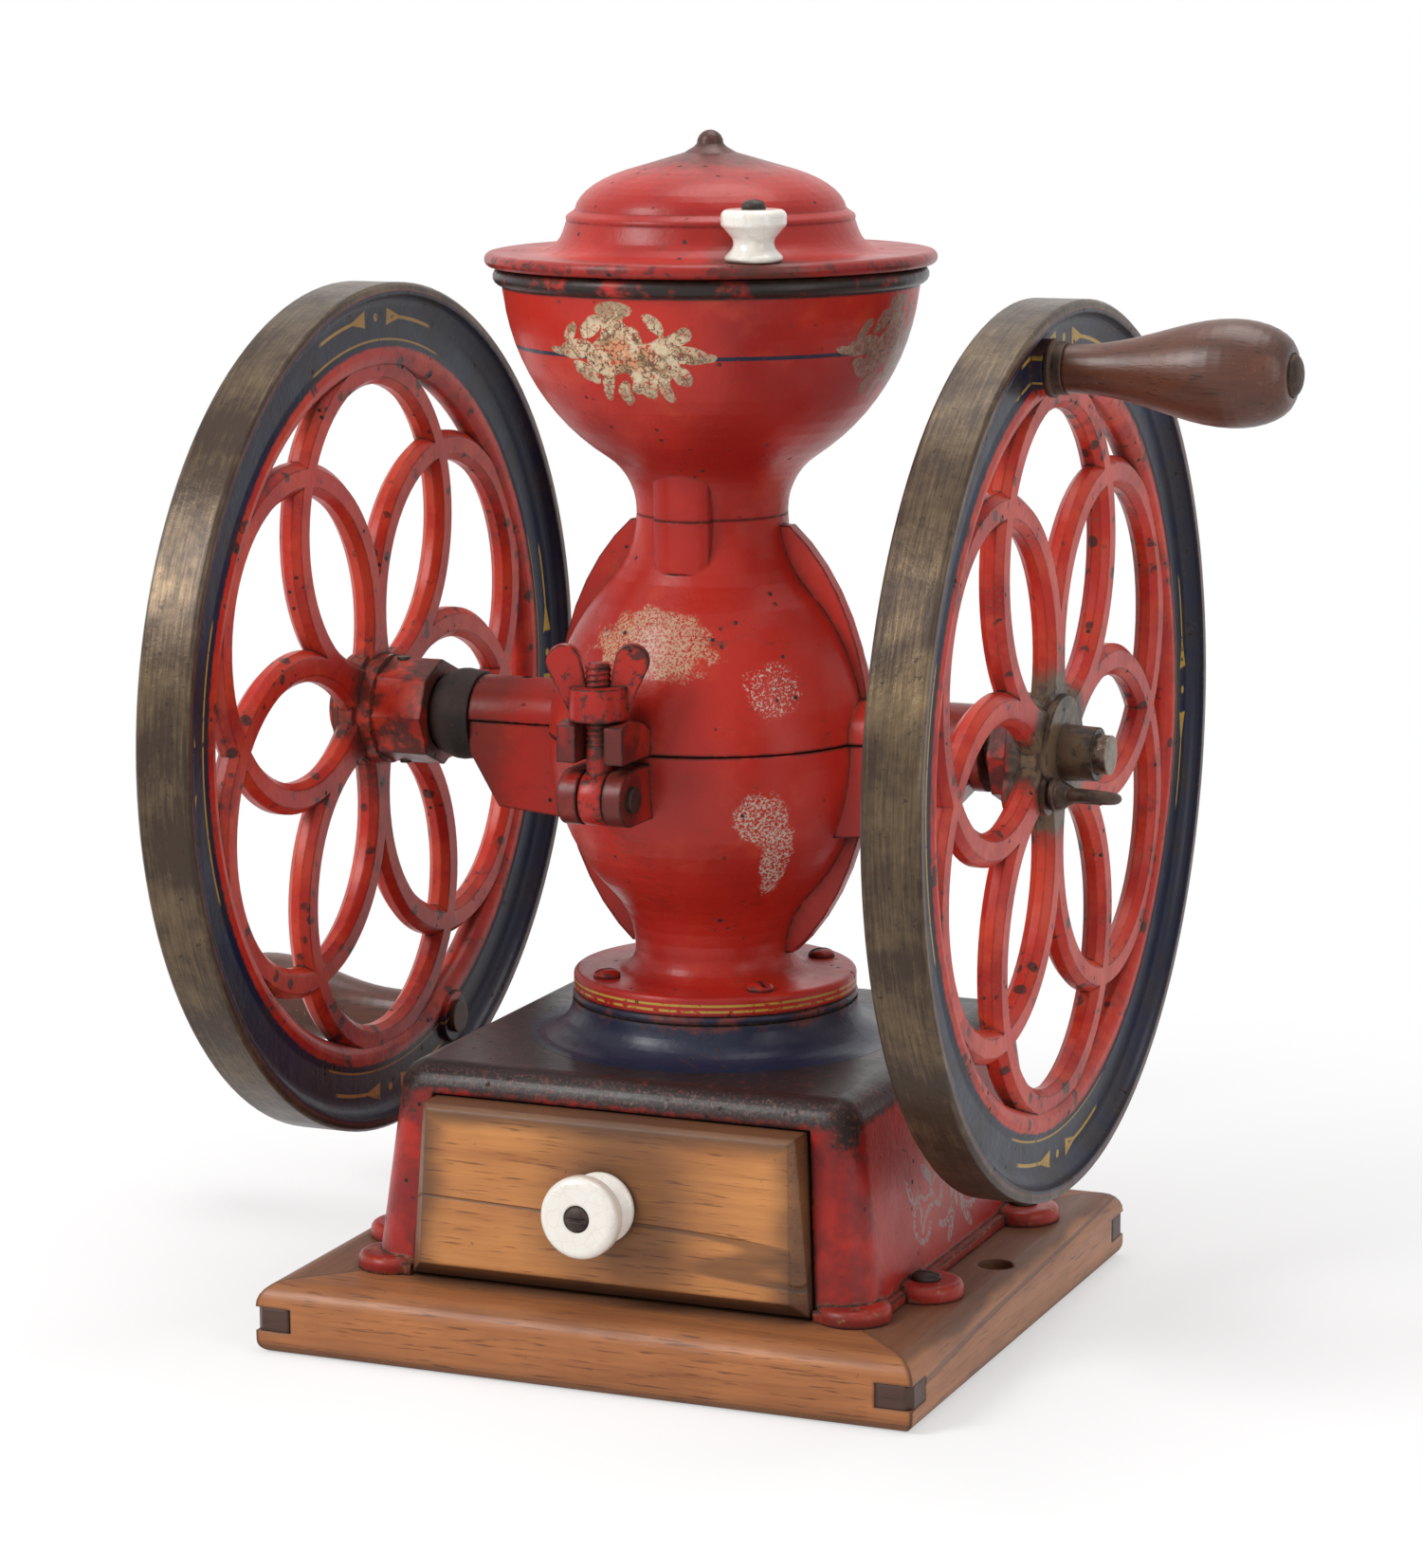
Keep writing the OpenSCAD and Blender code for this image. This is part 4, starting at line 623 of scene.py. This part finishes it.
wheel.plug(wheel.shader.inputs["Metallic"], tread * (0.35 + patina * 0.4))
dress(wheel_enamel, "left_wheel", "right_wheel")
print("wheels dressed")

# %% [markdown]
# ## Wood
# Boards are sawn along the trunk, so their grain is long streaks with fine dark pores. The
# same recipe serves every board if it is told which way the grain runs: the place on the
# board is squeezed along that way before it goes into the noise.

# %% Boards
def board(name, along, light, dark, gloss=0.38, dirt_and_shade=1.0):
    """Varnished or bare wood; its colour and gloss can be changed before done() closes it."""
    finish = Finish(name, coat=0.08, specular=0.35, rounding=1.6 * MM)
    stretch = {"x": (0.06, 1, 1), "y": (1, 0.06, 1), "z": (1, 1, 0.06)}[along]

    def squeezed(amount):
        """The place, squeezed along the grain by some amount of the full stretch."""
        return finish.vector(*(way * amount(s) for way, s in zip((finish.x, finish.y, finish.z), stretch)))

    grain_place = squeezed(lambda s: s)
    finish.wavy = finish.noise(26 * MM, 2.0, seed=3.0)
    streaks = finish.noise(4.5 * MM, 5.0, 0.62, at=grain_place, seed=1.0)
    pores = finish.noise(0.8 * MM, 2.0, 0.5, at=grain_place, seed=2.0)
    streaky = finish.soft((streaks - 0.365) * 2.0 + (finish.wavy - 0.5) * 0.9)
    finish.colour = finish.mix(light, dark, streaky)
    pore_colour = (dark[0] * 0.45, dark[1] * 0.4, dark[2] * 0.4)
    finish.colour = finish.mix(finish.colour, pore_colour, finish.ramp(pores, 0.58, 0.70) * 0.7)
    smoky = finish.noise(34 * MM, 4.0, 0.62, at=squeezed(lambda s: s ** 0.5), seed=6.0)
    smoke_colour = (dark[0] * 0.5, dark[1] * 0.42, dark[2] * 0.4)
    finish.colour = finish.mix(finish.colour, smoke_colour, finish.ramp(smoky, 0.50, 0.68) * (0.55 * dirt_and_shade))
    crack = finish.noise(60 * MM, 2.0, 0.5, at=squeezed(lambda s: s * 0.8), seed=7.0)
    crack = finish.ramp(finish.size(crack - 0.47), 0.0035, 0.0012)
    finish.colour = finish.mix(finish.colour, (0.030, 0.014, 0.010), crack * 0.55)
    finish.bump(1.0 - crack, 0.20 * MM)
    edge = finish.edges()
    # Painted shade: dark brown laid in corners and joints, where the AO node finds the wood closed in; the stain
    # below adds it to the dirt on edges and the spots.
    crevice_dirt_and_shade = finish.crevice(12 * MM)
    spots = finish.ramp(finish.noise(3.0 * MM, 3.0, 0.6, seed=4.0), 0.66, 0.72)
    stain_and_shade = finish.soft((edge * 0.55 + crevice_dirt_and_shade * 0.8 + spots * 0.4) * dirt_and_shade)
    finish.colour = finish.mix(finish.colour, (0.045, 0.020, 0.012), stain_and_shade * 0.8)
    finish.bump(pores, 0.08 * MM)
    finish.bump(streaks, 0.15 * MM)
    finish.gloss = gloss + (streaks - 0.5) * 0.25 + crevice_dirt_and_shade * 0.3
    return finish


OAK_LIGHT, OAK_DARK = (0.44, 0.165, 0.052), (0.19, 0.058, 0.018)
for name, along in (("front_rail", "x"), ("back_rail", "x"), ("left_rail", "y"), ("right_rail", "y")):
    rail = board(name + " wood", along, OAK_LIGHT, OAK_DARK)
    worn_top = rail.ramp(rail.z + (rail.wavy - 0.5) * 0.006, DECK_Z - 0.0035, DECK_Z - 0.0008)
    rail.colour = rail.mix(rail.colour, (0.105, 0.047, 0.028), worn_top * (0.75 if along == "y" else 0.30))
    dress(rail.done(rail.colour, rail.gloss + worn_top * 0.15), name)

front = board("drawer front wood", "x", (0.56, 0.235, 0.068), (0.29, 0.095, 0.028), dirt_and_shade=1.2)
from_knob = front.length(front.x - 6 * MM, front.z - middle("drawer_knob", 2))
hand_stain = front.ramp(from_knob + (front.wavy - 0.5) * 0.03, 0.038, 0.014) * 0.62
front.colour = front.mix(front.colour, (0.055, 0.026, 0.018), hand_stain)
face_top, face_low = high("drawer_front", 2), low("drawer_front", 2)
face_side = high("drawer_front", 0)
wavering = front.z + (front.wavy - 0.5) * 0.006
side_border = front.ramp(front.size(front.x) + (front.wavy - 0.5) * 0.016, face_side - 0.016, face_side - 0.003)
border = front.either(front.ramp(wavering, face_top - 0.008, face_top - 0.002),
                      front.ramp(wavering, face_low + 0.005, face_low + 0.001))
front.colour = front.mix(front.colour, (0.050, 0.022, 0.014), front.either(border, side_border) * 0.75)
dress(front.done(front.colour, front.gloss + hand_stain * 0.1), "drawer_front")
BARE_LIGHT, BARE_DARK = (0.42, 0.27, 0.15), (0.27, 0.155, 0.08)
bare = board("bare drawer wood", "y", BARE_LIGHT, BARE_DARK, gloss=0.6)
dress(bare.done(bare.colour, bare.gloss), "drawer_left_side", "drawer_right_side", "drawer_floor")
inner = board("bare back wood", "x", BARE_LIGHT, BARE_DARK, gloss=0.6)
dress(inner.done(inner.colour, inner.gloss), "drawer_back")
panel = board("panel wood", "x", (0.30, 0.14, 0.06), (0.16, 0.065, 0.03), gloss=0.6)
dress(panel.done(panel.colour, panel.gloss), "centre_board")
keys = board("key wood", "x", (0.075, 0.030, 0.020), (0.035, 0.016, 0.012), gloss=0.45)
dress(keys.done(keys.colour, keys.gloss), "corner_keys")
handle = board("handle wood", "x", (0.115, 0.038, 0.020), (0.042, 0.015, 0.010), gloss=0.36)
handle.plug(handle.shader.inputs["Coat Weight"], 0.12)
# Painted highlights: lighter specks scattered over the varnish of the handles.
highlight_specks = (handle.ramp(handle.noise(1.6 * MM, 3.0, 0.7, seed=61.0), 0.60, 0.68)
        * handle.ramp(handle.wavy, 0.46, 0.60))
handle.colour = handle.mix(handle.colour, (0.20, 0.125, 0.095), highlight_specks * 0.45)
dress(handle.done(handle.colour, handle.gloss), "left_handle", "right_handle")
print("wood dressed")

# %% [markdown]
# ## Porcelain and bare iron
# Porcelain is nearly one colour, with a faint crackle, and dirt with painted shade where it meets the iron. Bare
# iron is one recipe with other colours: dark screws, brown forgings, the greasy collar, the
# ground steel of the shaft and the grey burrs.

# %% Knobs, screws, burrs and shaft
glaze = Finish("porcelain", coat=0.7, rounding=1.0 * MM)
crackle = glaze.ramp(glaze.cells(4.5 * MM, feature="DISTANCE_TO_EDGE"), 0.035, 0.01)
# Dirt and painted shade: brown where the AO node finds the knob closed in by the iron.
dirt_and_shade = glaze.crevice(4 * MM)
tint = glaze.mix((0.80, 0.765, 0.70), (0.70, 0.63, 0.53), glaze.ramp(glaze.noise(7 * MM, 3.0), 0.5, 0.75) * 0.6)
tint = glaze.mix(tint, (0.42, 0.30, 0.20), crackle * 0.18)
tint = glaze.mix(tint, (0.16, 0.09, 0.05), dirt_and_shade * 0.7)
glaze.bump(glaze.noise(6 * MM, 1.0), 0.12 * MM)
dress(glaze.done(tint, 0.16 + dirt_and_shade * 0.3), "drawer_knob", "lid_knob")


def iron_finish(name, light, dark, roughness, metallic, grain=2.0 * MM, rust=0.5):
    finish = Finish(name, metallic=metallic, specular=0.4, rounding=0.9 * MM)
    cloud = finish.noise(grain * 3, 4.0, 0.65)
    fine = finish.noise(grain * 0.5, 3.0, 0.6, seed=4.0)
    colour = finish.mix(dark, light, finish.ramp(cloud, 0.36, 0.64))
    colour = finish.mix(colour, (0.10, 0.040, 0.020), finish.ramp(fine, 0.58, 0.70) * rust)
    colour = finish.mix(colour, (light[0] * 1.6, light[1] * 1.5, light[2] * 1.4), finish.edges() * 0.5)
    finish.bump(fine, 0.12 * MM)
    finish.bump(cloud, 0.15 * MM)
    return finish.done(colour, roughness + (cloud - 0.5) * 0.3)


dark_iron = iron_finish("dark iron", (0.055, 0.036, 0.030), (0.020, 0.014, 0.012), 0.50, 0.4)
dress(dark_iron, "foot_screws", "lid_pivot_screw", "drawer_knob_screw", "lid_knob_screw",
      "clevis_pin", "hinge_pin", "hub_pin")
brown_iron = iron_finish("brown iron", (0.085, 0.050, 0.034), (0.030, 0.018, 0.014), 0.55, 0.5, rust=0.8)
dress(brown_iron, "regulating_screw", "left_spindle", "right_spindle", "left_ferrule", "right_ferrule")
greasy_iron = iron_finish("greasy iron", (0.032, 0.017, 0.014), (0.012, 0.008, 0.007), 0.62, 0.2,
                          grain=3 * MM, rust=0.3)
dress(greasy_iron, "thrust_collar")
steel = iron_finish("ground steel", (0.24, 0.20, 0.16), (0.09, 0.065, 0.050), 0.36, 0.95)
dress(steel, "shaft", "burr_screws")
burr_iron = iron_finish("burr iron", (0.12, 0.10, 0.085), (0.05, 0.035, 0.028), 0.5, 0.8)
dress(burr_iron, "fixed_burr", "rotating_burr", "feed_worm")

fittings = Enamel("fitting enamel", edge=1.8 * MM)
sooty = fittings.ramp(fittings.ragged + (fittings.broad - 0.5) * 0.6, 0.50, 0.62)
fittings.cover((0.040, 0.018, 0.015), sooty * 0.85)
fitting_enamel = fittings.worn(grime_and_shade=1.2)
dress(fitting_enamel, "swing_bolt", "wing_nut", "flange_screws")

# %% [markdown]
# ## The clamp bolt and its thread
# The bolt that holds the case shut swings on a pin and is cut with a coarse thread for the
# wing nut. A thread is a turned rod whose radius also depends on the way round: it drops in
# a vee that climbs one pitch in each turn. So the rod is a grid of points, ring over ring.

# %% A turned rod, and a bolt with its eye
def ring_faces(rings, around, closed):
    """Faces from each ring of points to the next, and from the last to the first if closed."""
    faces = []
    for i in range(rings if closed else rings - 1):
        here, there = i * around, (i + 1) % rings * around
        for k in range(around):
            after = (k + 1) % around
            faces.append((here + k, here + after, there + after, there + k))
    return faces


def end_faces(rings, around):
    """The two ends of an open grid of rings."""
    return [tuple(reversed(range(around))), tuple(range((rings - 1) * around, rings * around))]


def turned_rod(heights, radius_at, steps=36):
    """Points and faces of a rod along +Z from rings, with both ends closed."""
    points = []
    for z in heights:
        for i in range(steps):
            turn = 2 * math.pi * i / steps
            r = radius_at(turn, z)
            points.append((r * math.cos(turn), r * math.sin(turn), z))
    return points, ring_faces(len(heights), steps, closed=False) + end_faces(len(heights), steps)


def ring_solid(outline, steps=48):
    """Points and faces of a ring round the X axis, its section given as (x, radius) pairs."""
    points = []
    for i in range(steps):
        turn = 2 * math.pi * i / steps
        points += [(x, r * math.cos(turn), r * math.sin(turn)) for x, r in outline]
    return points, ring_faces(steps, len(outline), closed=True)


SHARP_EDGE = 38  # degrees


def piece(name, shells, place, material, body):
    """One object from several closed shells, moved to its place, smooth but for its edges."""
    points, faces = [], []
    for shell_points, shell_faces in shells:
        start = len(points)
        points += [place @ Vector(point) for point in shell_points]
        faces += [tuple(start + index for index in face) for face in shell_faces]
    mesh = bpy.data.meshes.new(name)
    mesh.from_pydata(points, [], faces)
    cleaned = bmesh.new()
    cleaned.from_mesh(mesh)
    bmesh.ops.recalc_face_normals(cleaned, faces=cleaned.faces)
    cleaned.to_mesh(mesh)
    cleaned.free()
    mesh.shade_smooth()
    mesh.set_sharp_from_angle(angle=math.radians(SHARP_EDGE))
    mesh.materials.append(material)
    made = bpy.data.objects.new(name, mesh)
    bpy.context.collection.objects.link(made)
    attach(made, body)
    print(name, len(faces), "faces")
    return made


EYE_R, EYE_BORE, EYE_HALF, BOLT_R, PITCH = 8.4 * MM, 2.68 * MM, 4.0 * MM, 4.0 * MM, 1.8 * MM
NECK, STEPS = 7.2 * MM, 150  # where the rod leaves the eye, and the steps between its rings
bolt_foot = low("swing_bolt", 2) + EYE_R
bolt_reach = high("swing_bolt", 2) - bolt_foot


def bolt_radius(turn, z):
    along = (z / PITCH - turn / (2 * math.pi)) % 1.0
    vee = abs(along - 0.5) * 2
    started = min(1.0, max(0.0, (z - bolt_reach * 0.36) / (1.5 * MM)))
    end = max(0.0, z - (bolt_reach - 0.9 * MM))
    return BOLT_R - 0.05 * MM - 0.62 * MM * max(0.0, vee - 0.15) * started - end


heights = [NECK + (bolt_reach - NECK) * i / STEPS for i in range(STEPS + 1)]
SOFT = 1.0 * MM  # the rounding of the eye's rim
half_section = [(EYE_HALF, EYE_BORE), (EYE_HALF, EYE_R - SOFT), (EYE_HALF - SOFT * 0.3, EYE_R - SOFT * 0.3),
                (EYE_HALF - SOFT, EYE_R)]
eye_section = [(-x, r) for x, r in half_section] + half_section[::-1]
bolt_place = Matrix.Translation((middle("swing_bolt", 0), middle("swing_bolt", 1), bolt_foot))
bolt = piece("threaded_bolt", [turned_rod(heights, bolt_radius), ring_solid(eye_section)],
             bolt_place, fitting_enamel, "swing_bolt")
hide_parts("swing_bolt")

# %% [markdown]
# ## The ring headed screw
# The screw that sets the grind has a head like a flattened ring, so that two fingers can turn
# it. Its head is a loop of oval section, forged round, with a collar where the shank begins.

# %% A forged loop on a collared shank
LOOP_R, LOOP_BAR, LOOP_THICK, FLATTER = 6.15 * MM, 2.3 * MM, 1.95 * MM, 0.12
ROUND, SECTION, SHANK_STEPS = 56, 14, 32  # steps round the loop, round its bar and round the shank
LEAN = -14  # degrees
loop_points = []
for i in range(ROUND):
    turn = 2 * math.pi * i / ROUND
    for k in range(SECTION):
        bend = 2 * math.pi * k / SECTION
        r = LOOP_R + LOOP_BAR * math.cos(bend)
        thick = LOOP_THICK * math.sin(bend) * (1.0 - FLATTER * math.cos(turn))
        loop_points.append((r * math.cos(turn), r * math.sin(turn), thick))
loop = (loop_points, ring_faces(ROUND, SECTION, closed=True))
screw_start = low("regulating_screw", 0)
loop_x = high("regulating_screw", 0) - (LOOP_R + LOOP_BAR + 0.05 * MM)
collar_x = RIGHT_WHEEL_X + 5.7 * MM
# Places along the shaft in metres, each with a radius in mm.
profile = [(screw_start, 2.7), (screw_start + 0.3 * MM, 3.0), (collar_x, 3.0), (collar_x, 4.7),
           (collar_x + 0.5 * MM, 5.0), (collar_x + 1.6 * MM, 5.0), (collar_x + 2.0 * MM, 4.3),
           (collar_x + 2.4 * MM, 4.6), (collar_x + 3.4 * MM, 4.3), (loop_x - 6.6 * MM, 2.6),
           (loop_x - 5.6 * MM, 1.9)]
shank_points = []
for x, r in profile:
    for i in range(SHANK_STEPS):
        turn = 2 * math.pi * i / SHANK_STEPS
        shank_points.append((x - loop_x, r * MM * math.cos(turn), r * MM * math.sin(turn)))
shank_faces = ring_faces(len(profile), SHANK_STEPS, closed=False) + end_faces(len(profile), SHANK_STEPS)
screw_place = (Matrix.Translation((loop_x, middle("regulating_screw", 1), middle("regulating_screw", 2)))
               @ Matrix.Rotation(math.radians(LEAN), 4, "X"))
screw = piece("ring_headed_screw", [loop, (shank_points, shank_faces)],
              screw_place, brown_iron, "regulating_screw")
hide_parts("regulating_screw")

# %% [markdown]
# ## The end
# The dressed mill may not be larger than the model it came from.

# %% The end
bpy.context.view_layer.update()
